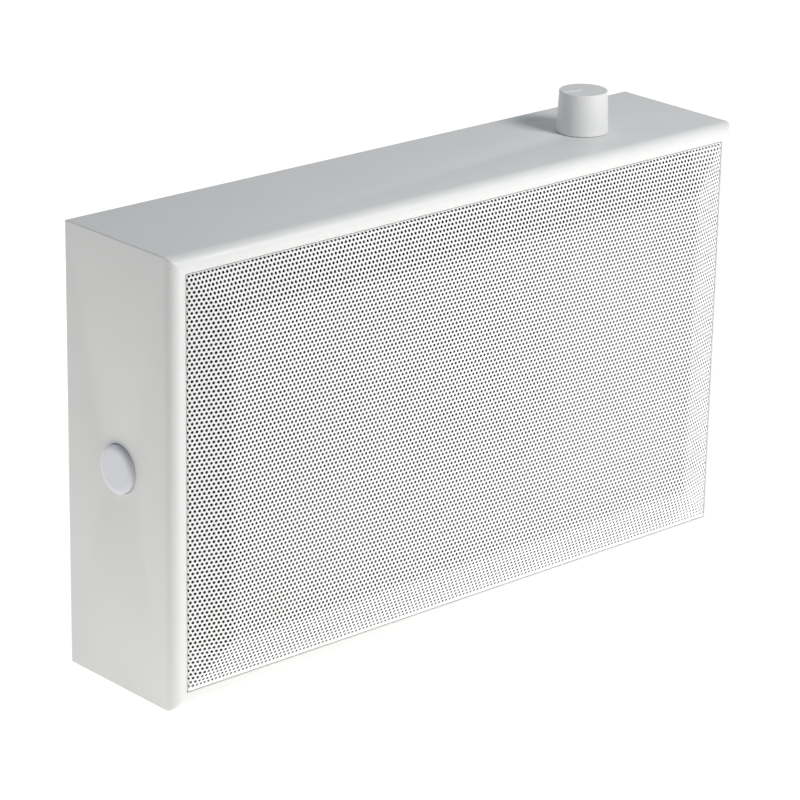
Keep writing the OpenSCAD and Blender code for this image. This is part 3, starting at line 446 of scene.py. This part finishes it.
def strip_between(outer, inner):
    """Triangles between two closed loops of (index, angle), walked by angle."""
    triangles = []
    i = j = 0
    n, m = len(outer), len(inner)
    while i < n or j < m:
        next_outer = outer[i + 1][1] if i + 1 < n else outer[0][1] + 360
        next_inner = inner[j + 1][1] if j + 1 < m else inner[0][1] + 360
        here_outer, here_inner = outer[i % n][0], inner[j % m][0]
        if j >= m or (i < n and next_outer <= next_inner):
            triangles.append((here_inner, here_outer, outer[(i + 1) % n][0]))
            i += 1
        else:
            triangles.append((here_inner, here_outer, inner[(j + 1) % m][0]))
            j += 1
    return triangles


def cell_template():
    """Triangles of one hole's cell. Numbers 0 to 5 are the cell's border, 6 onwards the hole's rim."""
    half_x, half_z = HOLE_PITCH / 2, HOLE_PITCH * math.sqrt(3) / 4
    border = [(half_x, -half_z), (half_x, half_z), (0, half_z),
              (-half_x, half_z), (-half_x, -half_z), (0, -half_z)]
    outer = [(k, math.degrees(math.atan2(z, x)) % 360) for k, (x, z) in enumerate(border)]
    outer = [(k, a - 360 if k == 0 else a) for k, a in outer]
    first = -360.0 / HOLE_SIDES
    inner = [(6 + k, first + 360.0 * k / HOLE_SIDES) for k in range(HOLE_SIDES)]
    return strip_between(outer, inner)


def edge_loop(columns, lines):
    """Numbers of a grid's border points, once round."""
    first = np.arange(columns)
    right = np.arange(1, lines) * columns + columns - 1
    last = (lines - 1) * columns + np.arange(columns - 2, -1, -1)
    left = np.arange(lines - 2, 0, -1) * columns
    return np.concatenate([first, right, last, left])


def panel_grid():
    """Border lines of the holes' cells: distances along the sheet and down it."""
    half = HOLE_PITCH / 2
    row_pitch = HOLE_PITCH * math.sqrt(3) / 2
    columns = FIRST_HOLE + half * np.arange(-1, 2 * HOLES_PER_ROW + 1)
    lines = FIRST_ROW + row_pitch * (np.arange(HOLE_ROWS + 1) - 0.5)
    return columns, lines


def perforated_panel(name, sheet, rows):
    """Closed stretch of the sheet with the round holes of some rows."""
    columns, lines = panel_grid()
    lines = lines[rows[0]:rows[-1] + 2]
    count = len(columns)
    grid_s, grid_t = np.meshgrid(columns, lines)
    places = [np.stack([grid_s.ravel(), grid_t.ravel()], 1)]
    turn = np.radians(-360.0 / HOLE_SIDES + 360.0 * np.arange(HOLE_SIDES) / HOLE_SIDES)
    circle = HOLE_RADIUS * np.stack([np.cos(turn), np.sin(turn)], 1)
    template = np.array(cell_template())
    faces = []
    rims = []
    offset = grid_s.size
    for k, row in enumerate(rows):
        shift = 1 - row % 2
        middle = 1 + shift + 2 * np.arange(HOLES_PER_ROW)
        near, far = k * count, (k + 1) * count
        border = np.stack([near + middle + 1, far + middle + 1, far + middle,
                           far + middle - 1, near + middle - 1, near + middle], 1)
        hole = offset + np.arange(HOLES_PER_ROW * HOLE_SIDES).reshape(HOLES_PER_ROW, HOLE_SIDES)
        centre = np.stack([columns[middle], np.full(HOLES_PER_ROW, (lines[k] + lines[k + 1]) / 2)], 1)
        places.append((centre[:, None, :] + circle[None]).reshape(-1, 2))
        offset += hole.size
        faces.append(np.concatenate([border, hole], 1)[:, template].reshape(-1, 3))
        rims.append(hole)
        spare = 0 if shift else count - 2
        faces.append(np.array([(near + spare, near + spare + 1, far + spare + 1),
                               (near + spare, far + spare + 1, far + spare)]))
    flat = np.concatenate(places)
    outer, inner = sheet.points(flat[:, 0], flat[:, 1])
    total = len(outer)
    face = np.concatenate(faces)
    walls = []
    for loop in (np.concatenate(rims), edge_loop(count, len(lines))[::-1][None]):
        after = np.roll(loop, -1, 1)
        walls.append(np.stack([loop, after, after + total], 2).reshape(-1, 3))
        walls.append(np.stack([loop, after + total, loop + total], 2).reshape(-1, 3))
    triangles = np.concatenate([face[:, ::-1], face + total, *[w[:, ::-1] for w in walls]])
    return triangle_object(name, np.concatenate([outer, inner]), triangles, 40.0)


def rim_object(name, sheet):
    """Plain edge of the sheet: what is left outside the holes, the edge bend and the flange."""
    columns, lines = panel_grid()
    grid_s, grid_t = np.meshgrid(columns, lines)
    loop = edge_loop(len(columns), len(lines))
    start = np.stack([grid_s.ravel()[loop], grid_t.ravel()[loop]], 1)
    reach = 2 * np.array([sheet.across[0][-1], sheet.down[0][-1]])
    outward = (start == start.max(0)).astype(float) - (start == start.min(0))
    end = np.where(outward < 0, -RIM_END, np.where(outward > 0, reach + RIM_END, start))
    flange = end + outward * (sheet.flange - RIM_END)
    rings = [start + (end - start) * k / RIM_RINGS for k in range(RIM_RINGS + 1)] + [flange]
    outer, inner = zip(*(sheet.points(ring[:, 0], ring[:, 1]) for ring in rings))
    verts = [*outer, *inner[::-1]]
    count = len(loop)
    here = np.arange(count)
    there = np.roll(here, -1)
    triangles = []
    for k in range(len(verts)):
        a, b = k * count, ((k + 1) % len(verts)) * count
        triangles.append(np.stack([a + here, a + there, b + there], 1))
        triangles.append(np.stack([a + here, b + there, b + here], 1))
    return triangle_object(name, np.concatenate(verts), np.concatenate(triangles), 40.0)


def build_grille():
    """Formed sheet with staggered round holes, in panels of some rows each, and its plain rim."""
    sheet = Sheet()
    for number, start in enumerate(range(0, HOLE_ROWS, ROWS_PER_PANEL)):
        rows = list(range(start, min(start + ROWS_PER_PANEL, HOLE_ROWS)))
        panel = perforated_panel(f"grille_sheet_{number + 1}", sheet, rows)
        dress(panel, "grille_paint", "cabinet", "grille")
    dress(rim_object("grille_rim", sheet), "grille_paint", "cabinet", "grille")


# Knob and button

def arc(centre, radius, start, end, steps):
    """Points of a circle's arc in a profile, angles in degrees."""
    turns = [math.radians(start + (end - start) * i / steps) for i in range(steps + 1)]
    return [(centre[0] + radius * math.cos(t), centre[1] + radius * math.sin(t)) for t in turns]


def build_knob():
    """Tapered moulded knob with a hollow underside, its pointer line let into the top."""
    place = knob_place()
    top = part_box("volume_knob")[1].z - place.translation.z
    inner = KNOB_TOP_RADIUS - KNOB_WALL
    foot = KNOB_FOOT_RADIUS
    ease = KNOB_FOOT_EASE
    profile = [(0, top - KNOB_ROOF), (inner, top - KNOB_ROOF), (inner, KNOB_GAP)]
    profile += [(foot - ease, KNOB_GAP)]
    profile += arc((foot - ease, KNOB_GAP + ease), ease, -60, 0, 3)
    profile += [(foot - 0.02 * MM, KNOB_GAP + ease + HOLD)]
    edge = (KNOB_TOP_RADIUS - KNOB_EDGE, top - KNOB_EDGE)
    profile += [(KNOB_TOP_RADIUS + 0.02 * MM, edge[1] - HOLD)]
    profile += arc(edge, KNOB_EDGE, 0, 90, 8)
    profile += [(edge[0] - HOLD, top), (0, top)]
    knob = lathe_object("volume_knob_body", profile, place)
    turn = place @ Matrix.Rotation(math.radians(POINTER_ANGLE), 4, "Z")
    along = (POINTER_START, KNOB_TOP_RADIUS - KNOB_EDGE - POINTER_MARGIN)
    across = (-POINTER_WIDTH / 2, POINTER_WIDTH / 2)
    floor = top - POINTER_DEPTH
    above = top + 1 * MM
    subtract(knob, bar_object("cut", along, across, (floor, above), above, turn))
    dress(knob, "knob_plastic", "knob", "volume_knob")
    far_top = floor + 0.15 * (top - floor)
    line = bar_object("knob_pointer_line", along, across, (floor, top), far_top, turn)
    dress(line, "pointer_white", "knob", "knob_pointer")


def build_button():
    """Round cap with a rounded rim, its skirt and the stop ring behind the wall."""
    place = button_place()
    low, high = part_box("side_button")
    rise = place.translation.x - low.x
    skirt_low = place.translation.x - high.x
    stop_radius = (high.y - low.y) / 2
    stop_top = skirt_low + BUTTON_STOP
    roof = rise - BUTTON_RIM_DROP - BUTTON_ROOF
    face_radius = BUTTON_RADIUS - BUTTON_RIM
    profile = [(0, rise), (face_radius - HOLD, rise)]
    for i in range(17):
        turn = math.radians(90 * i / 16)
        drop = BUTTON_RIM_DROP * (1 - math.cos(turn))
        profile.append((face_radius + BUTTON_RIM * math.sin(turn), rise - drop))
    profile += [(BUTTON_RADIUS, rise - BUTTON_RIM_DROP - HOLD), (BUTTON_RADIUS, stop_top)]
    profile += [(stop_radius, stop_top), (stop_radius, skirt_low)]
    profile += [(BUTTON_RADIUS - BUTTON_WALL, skirt_low), (BUTTON_RADIUS - BUTTON_WALL, roof), (0, roof)]
    cap = lathe_object("push_button_cap", profile, place)
    dress(cap, "button_plastic", "button", "side_button")


def build_spring():
    """The button's coil spring, a copy of the CAD's."""
    node = frame["nodes"]["button_spring"]
    spring = bpy.data.objects.new("button_coil_spring", node.data.copy())
    bpy.context.scene.collection.objects.link(spring)
    dress(spring, "zinc", "cabinet", "button_spring")
    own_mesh(spring)


# Materials

class Paper:
    """A material's nodes, with short ways to add what most finishes need."""

    def __init__(self, name, colour, roughness, metallic=0.0):
        self.material = bpy.data.materials.new(name)
        self.material.use_nodes = True
        self.nodes = self.material.node_tree.nodes
        self.links = self.material.node_tree.links
        self.shader = self.nodes["Principled BSDF"]
        self.shader.inputs["Base Color"].default_value = (*colour, 1)
        self.shader.inputs["Roughness"].default_value = roughness
        self.shader.inputs["Metallic"].default_value = metallic
        self.place = self.nodes.new("ShaderNodeTexCoord").outputs["Object"]
        self.normal = None

    def stretched(self, scale):
        """Coordinates scaled along X, Y and Z."""
        node = self.nodes.new("ShaderNodeMapping")
        node.inputs["Scale"].default_value = scale
        self.links.new(self.place, node.inputs["Vector"])
        return node.outputs["Vector"]

    def noise(self, scale, detail=3.0, roughness=0.5, where=None):
        """Cloudy pattern from 0 to 1, scale in features per metre."""
        node = self.nodes.new("ShaderNodeTexNoise")
        node.inputs["Scale"].default_value = scale
        node.inputs["Detail"].default_value = detail
        node.inputs["Roughness"].default_value = roughness
        self.links.new(where or self.place, node.inputs["Vector"])
        return node.outputs["Fac"]

    def cells(self, scale):
        """Distance pattern of scattered cells."""
        node = self.nodes.new("ShaderNodeTexVoronoi")
        node.inputs["Scale"].default_value = scale
        self.links.new(self.place, node.inputs["Vector"])
        return node.outputs["Distance"]

    def bands(self, scale, axis, distortion=0.0):
        """Even stripes along an axis."""
        node = self.nodes.new("ShaderNodeTexWave")
        node.wave_type = "BANDS"
        node.bands_direction = axis
        node.inputs["Scale"].default_value = scale
        node.inputs["Distortion"].default_value = distortion
        self.links.new(self.place, node.inputs["Vector"])
        return node.outputs["Fac"]

    def spread(self, value, low, high, from_low=0.3, from_high=0.7):
        """Value stretched from one range to another."""
        node = self.nodes.new("ShaderNodeMapRange")
        node.inputs["From Min"].default_value = from_low
        node.inputs["From Max"].default_value = from_high
        node.inputs["To Min"].default_value = low
        node.inputs["To Max"].default_value = high
        self.links.new(value, node.inputs["Value"])
        return node.outputs["Result"]

    def tint(self, value, dark, light):
        """Base colour between two tones."""
        node = self.nodes.new("ShaderNodeMix")
        node.data_type = "RGBA"
        node.inputs["A"].default_value = (*dark, 1)
        node.inputs["B"].default_value = (*light, 1)
        self.links.new(value, node.inputs["Factor"])
        self.links.new(node.outputs["Result"], self.shader.inputs["Base Color"])

    def rough(self, value, low, high):
        """Roughness between two values."""
        self.links.new(self.spread(value, low, high), self.shader.inputs["Roughness"])

    def bump(self, value, height, strength=1.0):
        """Relief of a height in metres, on top of any relief added before."""
        node = self.nodes.new("ShaderNodeBump")
        node.inputs["Distance"].default_value = height
        node.inputs["Strength"].default_value = strength
        self.links.new(value, node.inputs["Height"])
        if self.normal is not None:
            self.links.new(self.normal, node.inputs["Normal"])
        self.normal = node.outputs["Normal"]
        self.links.new(self.normal, self.shader.inputs["Normal"])

    def product(self, a, b):
        """One pattern times another."""
        node = self.nodes.new("ShaderNodeMath")
        node.operation = "MULTIPLY"
        self.links.new(a, node.inputs[0])
        self.links.new(b, node.inputs[1])
        return node.outputs["Value"]


def scaled(colour, share):
    """Colour made darker or lighter by a share."""
    return tuple(min(1.0, c * share) for c in colour)


def white_paint():
    """Sprayed satin lacquer on board: faint orange peel and a hardly uneven tone."""
    m = Paper("white_paint", (0.80, 0.80, 0.795), 0.42)
    tone = m.spread(m.noise(14, 4), 0, 1)
    m.tint(tone, (0.785, 0.785, 0.780), (0.812, 0.812, 0.808))
    m.rough(m.noise(60, 4), 0.36, 0.50)
    m.bump(m.noise(420, 2), 0.00003, 0.6)
    m.bump(m.noise(2600, 2), 0.00001, 0.5)
    return m.material


def grille_paint():
    """Satin powder coat on steel sheet, with a fine even texture."""
    m = Paper("grille_paint", (0.92, 0.92, 0.925), 0.36)
    m.tint(m.spread(m.noise(25, 3), 0, 1), (0.905, 0.905, 0.91), (0.935, 0.935, 0.94))
    m.rough(m.noise(300, 3), 0.32, 0.44)
    m.bump(m.noise(1500, 2), 0.00002, 0.5)
    return m.material


def knob_plastic():
    """Moulded plastic with a fine spark-eroded texture."""
    m = Paper("knob_plastic", (0.78, 0.78, 0.775), 0.42)
    m.tint(m.spread(m.noise(90, 3), 0, 1), (0.765, 0.765, 0.76), (0.79, 0.79, 0.785))
    m.rough(m.noise(500, 3), 0.36, 0.5)
    m.bump(m.noise(5200, 2), 0.000012, 0.6)
    return m.material


def pointer_white():
    """Bright glossy inlay."""
    m = Paper("pointer_white", (0.95, 0.95, 0.95), 0.22)
    m.tint(m.spread(m.noise(700, 2), 0, 1), (0.93, 0.93, 0.93), (0.97, 0.97, 0.97))
    m.rough(m.noise(900, 2), 0.18, 0.3)
    m.bump(m.noise(2500, 2), 0.000005, 0.5)
    return m.material


def button_plastic():
    """Glossy moulded plastic, a cooler white than the cabinet."""
    m = Paper("button_plastic", (0.76, 0.78, 0.83), 0.20)
    m.tint(m.spread(m.noise(120, 3), 0, 1), (0.745, 0.765, 0.82), (0.77, 0.79, 0.84))
    m.rough(m.noise(300, 3), 0.17, 0.24)
    m.bump(m.noise(900, 2), 0.000003, 0.5)
    m.shader.inputs["Coat Weight"].default_value = 0.4
    m.shader.inputs["Coat Roughness"].default_value = 0.12
    return m.material


def black_paint():
    """Matt black paint rolled on board."""
    m = Paper("black_paint", (0.018, 0.018, 0.019), 0.8)
    m.tint(m.spread(m.noise(40, 5), 0, 1), (0.014, 0.014, 0.015), (0.026, 0.026, 0.027))
    m.rough(m.noise(200, 3), 0.7, 0.9)
    m.bump(m.noise(900, 4), 0.00008, 0.7)
    return m.material


def board():
    """Bare fibreboard: short matted fibres in warm brown tones."""
    m = Paper("board", (0.36, 0.23, 0.13), 0.75)
    fibres = m.noise(900, 6, 0.7, m.stretched((1, 1, 0.35)))
    specks = m.spread(m.cells(650), 1, 0, 0.05, 0.35)
    m.tint(m.spread(fibres, 0, 1, 0.25, 0.75), (0.30, 0.185, 0.10), (0.43, 0.285, 0.165))
    m.rough(specks, 0.62, 0.85)
    m.bump(fibres, 0.00006, 0.6)
    return m.material


def metal(name, colour, roughness, grain, streak=(1, 1, 1)):
    """Plated or plain metal with fine streaks in one direction and a cloudy tone."""
    m = Paper(name, colour, roughness, 1.0)
    m.tint(m.spread(m.noise(90, 4), 0, 1), scaled(colour, 0.82), scaled(colour, 1.08))
    lines = m.noise(grain, 4, 0.6, m.stretched(streak))
    m.rough(lines, roughness * 0.75, roughness * 1.35)
    m.bump(lines, 0.00002, 0.4)
    return m.material


def zinc():
    """Zinc plate on steel, bluish and streaked along X."""
    return metal("zinc", (0.62, 0.64, 0.67), 0.32, 1800, (1, 0.2, 0.2))


def brass():
    """Turned brass."""
    return metal("brass", (0.72, 0.53, 0.22), 0.30, 2200, (0.2, 1, 1))


def lamination():
    """Edges of a stack of thin steel sheets."""
    m = Paper("lamination", (0.24, 0.24, 0.25), 0.5, 0.85)
    sheets = m.bands(320, "Y")
    m.tint(sheets, (0.13, 0.125, 0.12), (0.31, 0.31, 0.32))
    m.rough(m.noise(400, 3), 0.4, 0.65)
    m.bump(sheets, 0.00008, 0.8)
    return m.material


def frame_black():
    """Black electrophoretic coat on pressed steel."""
    m = Paper("frame_black", (0.02, 0.02, 0.021), 0.38)
    m.tint(m.spread(m.noise(60, 3), 0, 1), (0.016, 0.016, 0.017), (0.028, 0.028, 0.03))
    m.rough(m.noise(350, 3), 0.3, 0.5)
    m.bump(m.noise(1200, 3), 0.00002, 0.5)
    return m.material


def ferrite():
    """Sintered ferrite: dull dark grey with fine pits."""
    m = Paper("ferrite", (0.055, 0.055, 0.058), 0.62, 0.3)
    m.tint(m.spread(m.noise(250, 5), 0, 1), (0.04, 0.04, 0.042), (0.075, 0.075, 0.08))
    m.rough(m.noise(700, 4), 0.5, 0.75)
    m.bump(m.cells(1500), 0.00004, 0.6)
    return m.material


def copper():
    """Enamelled wire wound side by side."""
    m = Paper("copper", (0.45, 0.17, 0.07), 0.28, 0.9)
    turns = m.bands(800, "Y")
    m.tint(turns, (0.25, 0.08, 0.03), (0.58, 0.24, 0.10))
    m.bump(turns, 0.00012, 0.9)
    m.rough(m.noise(900, 2), 0.22, 0.36)
    return m.material


def former_film():
    """Amber film of the coil former."""
    m = Paper("former_film", (0.55, 0.33, 0.08), 0.3)
    m.tint(m.spread(m.noise(200, 3), 0, 1), (0.47, 0.27, 0.06), (0.62, 0.39, 0.11))
    m.rough(m.noise(500, 3), 0.22, 0.4)
    m.bump(m.noise(900, 2), 0.00001, 0.5)
    return m.material


def cone_paper():
    """Pressed paper pulp: matted fibres, dull and dark."""
    m = Paper("cone_paper", (0.038, 0.038, 0.040), 0.9)
    fibres = m.noise(1100, 6, 0.75, m.stretched((1, 1, 0.5)))
    m.tint(m.spread(fibres, 0, 1), (0.028, 0.028, 0.030), (0.060, 0.059, 0.058))
    m.rough(m.noise(300, 3), 0.8, 0.98)
    m.bump(fibres, 0.00008, 0.7)
    return m.material


def treated_cloth():
    """Resin-treated woven cloth of the centring disc."""
    m = Paper("treated_cloth", (0.33, 0.22, 0.10), 0.7)
    weave = m.product(m.bands(500, "X"), m.bands(500, "Z"))
    m.tint(m.spread(weave, 0, 1, 0, 1), (0.21, 0.135, 0.055), (0.44, 0.31, 0.16))
    m.rough(m.noise(300, 3), 0.55, 0.8)
    m.bump(weave, 0.00015, 0.9)
    return m.material


def wadding():
    """Soft polyester wadding with a loose, tangled surface."""
    m = Paper("wadding", (0.78, 0.78, 0.75), 0.95)
    tangle = m.noise(260, 8, 0.75)
    m.tint(m.spread(tangle, 0, 1), (0.58, 0.58, 0.55), (0.86, 0.86, 0.83))
    m.rough(m.noise(150, 3), 0.85, 1.0)
    m.bump(tangle, 0.0012, 1.0)
    m.shader.inputs["Sheen Weight"].default_value = 0.3
    return m.material


def moulded(name, colour, roughness, texture, height):
    """Matt moulded plastic with an eroded texture of a given scale and height."""
    m = Paper(name, colour, roughness)
    m.tint(m.spread(m.noise(70, 3), 0, 1), scaled(colour, 0.88), scaled(colour, 1.1))
    m.rough(m.noise(400, 3), roughness * 0.85, roughness * 1.15)
    m.bump(m.noise(texture, 2), height, 0.7)
    return m.material


def dark_plastic():
    """Nearly black moulding."""
    return moulded("dark_plastic", (0.022, 0.022, 0.024), 0.5, 3000, 0.00003)


def cream_plastic():
    """Cream moulding."""
    return moulded("cream_plastic", (0.68, 0.66, 0.58), 0.42, 2500, 0.00002)


def winding_tape():
    """Yellow film tape wound in overlapping layers over the coil."""
    m = Paper("winding_tape", (0.62, 0.34, 0.05), 0.35)
    layers = m.bands(60, "Z", distortion=1.2)
    m.tint(layers, (0.52, 0.27, 0.03), (0.68, 0.40, 0.08))
    m.rough(m.noise(250, 3), 0.28, 0.45)
    m.bump(layers, 0.0001, 0.7)
    return m.material


def rubber():
    """Matt rubber with a bloom of lighter patches."""
    m = Paper("rubber", (0.016, 0.016, 0.016), 0.7)
    m.tint(m.spread(m.noise(120, 5), 0, 1), (0.012, 0.012, 0.012), (0.03, 0.03, 0.03))
    m.rough(m.noise(300, 3), 0.6, 0.85)
    m.bump(m.noise(1500, 3), 0.00003, 0.6)
    return m.material


FINISHES = {
    "white_paint": white_paint, "grille_paint": grille_paint, "knob_plastic": knob_plastic,
    "pointer_white": pointer_white, "button_plastic": button_plastic, "black_paint": black_paint,
    "board": board, "zinc": zinc, "lamination": lamination, "frame_black": frame_black,
    "ferrite": ferrite, "brass": brass, "copper": copper, "former_film": former_film,
    "cone_paper": cone_paper, "treated_cloth": treated_cloth, "wadding": wadding,
    "dark_plastic": dark_plastic, "cream_plastic": cream_plastic, "winding_tape": winding_tape,
    "rubber": rubber,
}
# Bare metal that would show through the front's holes as pale patches
DARK_BEHIND_HOLES = ("grille_brackets", "bracket_screws", "speaker_screws")
MADE = {}


def finish(slot):
    """The material of a slot, made once."""
    if slot not in MADE:
        MADE[slot] = FINISHES[slot]()
    return MADE[slot]


def dress(obj, slot, body, node):
    """Gives a new piece the material of a slot and a body, and hides the CAD node that it stands for."""
    obj.data.materials.clear()
    obj.data.materials.append(finish(slot))
    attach(obj, body)
    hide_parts(node)


def dress_nodes():
    """Gives each CAD node the material of its slot, or a dark one right behind the holes."""
    slots = {part["node"]: part["material_slot"] for part in frame["record"]["subparts"]}
    slots.update({name: "frame_black" for name in DARK_BEHIND_HOLES})
    for name, obj in frame["nodes"].items():
        obj.data.materials.clear()
        obj.data.materials.append(finish(slots[name]))


# Studio

def build_camera():
    """Camera at the photograph's angle and distance."""
    data = bpy.data.cameras.new("camera")
    data.lens = CAMERA_LENS
    data.sensor_width = CAMERA_SENSOR
    data.clip_start = 0.05
    data.clip_end = 50
    camera = bpy.data.objects.new("camera", data)
    bpy.context.scene.collection.objects.link(camera)
    heading = Matrix.Rotation(math.radians(-CAMERA_HEADING), 4, "Z")
    tilt = Matrix.Rotation(math.radians(90 - CAMERA_TILT), 4, "X")
    roll = Matrix.Rotation(math.radians(CAMERA_ROLL), 4, "Z")
    camera.matrix_world = Matrix.Translation(Vector(CAMERA_PLACE)) @ heading @ tilt @ roll
    bpy.context.scene.camera = camera


def area_light(name, place, target, size, power, colour):
    """Soft rectangular light that points at a target."""
    data = bpy.data.lights.new(name, "AREA")
    data.shape = "RECTANGLE"
    data.size, data.size_y = size
    data.energy = power
    data.color = colour
    light = bpy.data.objects.new(name, data)
    bpy.context.scene.collection.objects.link(light)
    towards = Vector(target) - Vector(place)
    turn = towards.to_track_quat("-Z", "Y").to_matrix().to_4x4()
    light.matrix_world = Matrix.Translation(Vector(place)) @ turn


def build_world():
    """Pale surroundings, brighter near the horizon and behind the part."""
    world = bpy.data.worlds.new("studio")
    world.use_nodes = True
    bpy.context.scene.world = world
    nodes, links = world.node_tree.nodes, world.node_tree.links
    direction = nodes.new("ShaderNodeTexCoord").outputs["Generated"]
    split = nodes.new("ShaderNodeSeparateXYZ")
    links.new(direction, split.inputs["Vector"])
    strengths = []
    for axis, low, high, at_low, at_high in WORLD_RAMPS:
        ramp = nodes.new("ShaderNodeMapRange")
        ramp.inputs["From Min"].default_value = low
        ramp.inputs["From Max"].default_value = high
        ramp.inputs["To Min"].default_value = at_low
        ramp.inputs["To Max"].default_value = at_high
        links.new(split.outputs[axis], ramp.inputs["Value"])
        strengths.append(ramp.outputs["Result"])
    total = nodes.new("ShaderNodeMath")
    links.new(strengths[0], total.inputs[0])
    links.new(strengths[1], total.inputs[1])
    links.new(total.outputs["Value"], nodes["Background"].inputs["Strength"])
    nodes["Background"].inputs["Color"].default_value = (*WORLD_COLOUR, 1)


def glow_mask(nodes, links):
    """1 on the stretch of floor round the part and along the line of sight, 0 well outside it."""
    place = nodes.new("ShaderNodeTexCoord").outputs["Object"]
    turned = nodes.new("ShaderNodeMapping")
    turned.vector_type = "POINT"
    turned.inputs["Rotation"].default_value = (0, 0, math.radians(CAMERA_HEADING))
    links.new(place, turned.inputs["Vector"])
    split = nodes.new("ShaderNodeSeparateXYZ")
    links.new(turned.outputs["Vector"], split.inputs["Vector"])
    shares = []
    for axis, dark, bright in GLOW_EDGES:
        edge = nodes.new("ShaderNodeMapRange")
        edge.interpolation_type = "SMOOTHSTEP"
        edge.inputs["From Min"].default_value = dark
        edge.inputs["From Max"].default_value = bright
        links.new(split.outputs[axis], edge.inputs["Value"])
        shares.append(edge.outputs["Result"])
    result = shares[0]
    for share in shares[1:]:
        product = nodes.new("ShaderNodeMath")
        product.operation = "MULTIPLY"
        links.new(result, product.inputs[0])
        links.new(share, product.inputs[1])
        result = product.outputs["Value"]
    return result


def build_floor():
    """Large pale table, lit from below round the part as a light table is."""
    corners = [(-1, -1), (1, -1), (1, 1), (-1, 1)]
    verts = [(FLOOR_SIZE * x, FLOOR_SIZE * y, 0) for x, y in corners]
    floor = new_object("studio_floor", verts, [(0, 1, 2, 3)])
    floor.location.z = CAD_BOUNDS[0][2] - FLOOR_DROP
    material = bpy.data.materials.new("studio_floor")
    material.use_nodes = True
    nodes, links = material.node_tree.nodes, material.node_tree.links
    shader = nodes["Principled BSDF"]
    shader.inputs["Base Color"].default_value = (*FLOOR_COLOUR, 1)
    shader.inputs["Roughness"].default_value = 0.9
    shader.inputs["Emission Color"].default_value = (*GLOW_COLOUR, 1)
    strength = nodes.new("ShaderNodeMapRange")
    strength.inputs["To Min"].default_value = GLOW_FAR
    strength.inputs["To Max"].default_value = GLOW
    links.new(glow_mask(nodes, links), strength.inputs["Value"])
    links.new(strength.outputs["Result"], shader.inputs["Emission Strength"])
    floor.data.materials.append(material)


def build_lights():
    """A soft light from the front right and above, and a weak one from the left."""
    turn = math.radians(KEY_TURN)
    height = math.radians(KEY_HEIGHT)
    level = math.cos(height)
    towards = Vector((math.sin(turn) * level, -math.cos(turn) * level, math.sin(height)))
    place = Vector(KEY_TARGET) + KEY_DISTANCE * towards
    area_light("key", place, KEY_TARGET, KEY_SIZE, KEY_POWER, KEY_COLOUR)
    area_light("fill", FILL_PLACE, FILL_TARGET, FILL_SIZE, FILL_POWER, FILL_COLOUR)


def set_colours():
    """Plain colours, without a film curve."""
    view = bpy.context.scene.view_settings
    view.view_transform = "Standard"
    view.look = "None"
    view.exposure = 0.0
    view.gamma = 1.0


build_camera()
set_colours()
build_world()
build_floor()
build_lights()
dress_nodes()
build_cabinet()
build_grille()
build_knob()
build_button()
build_spring()
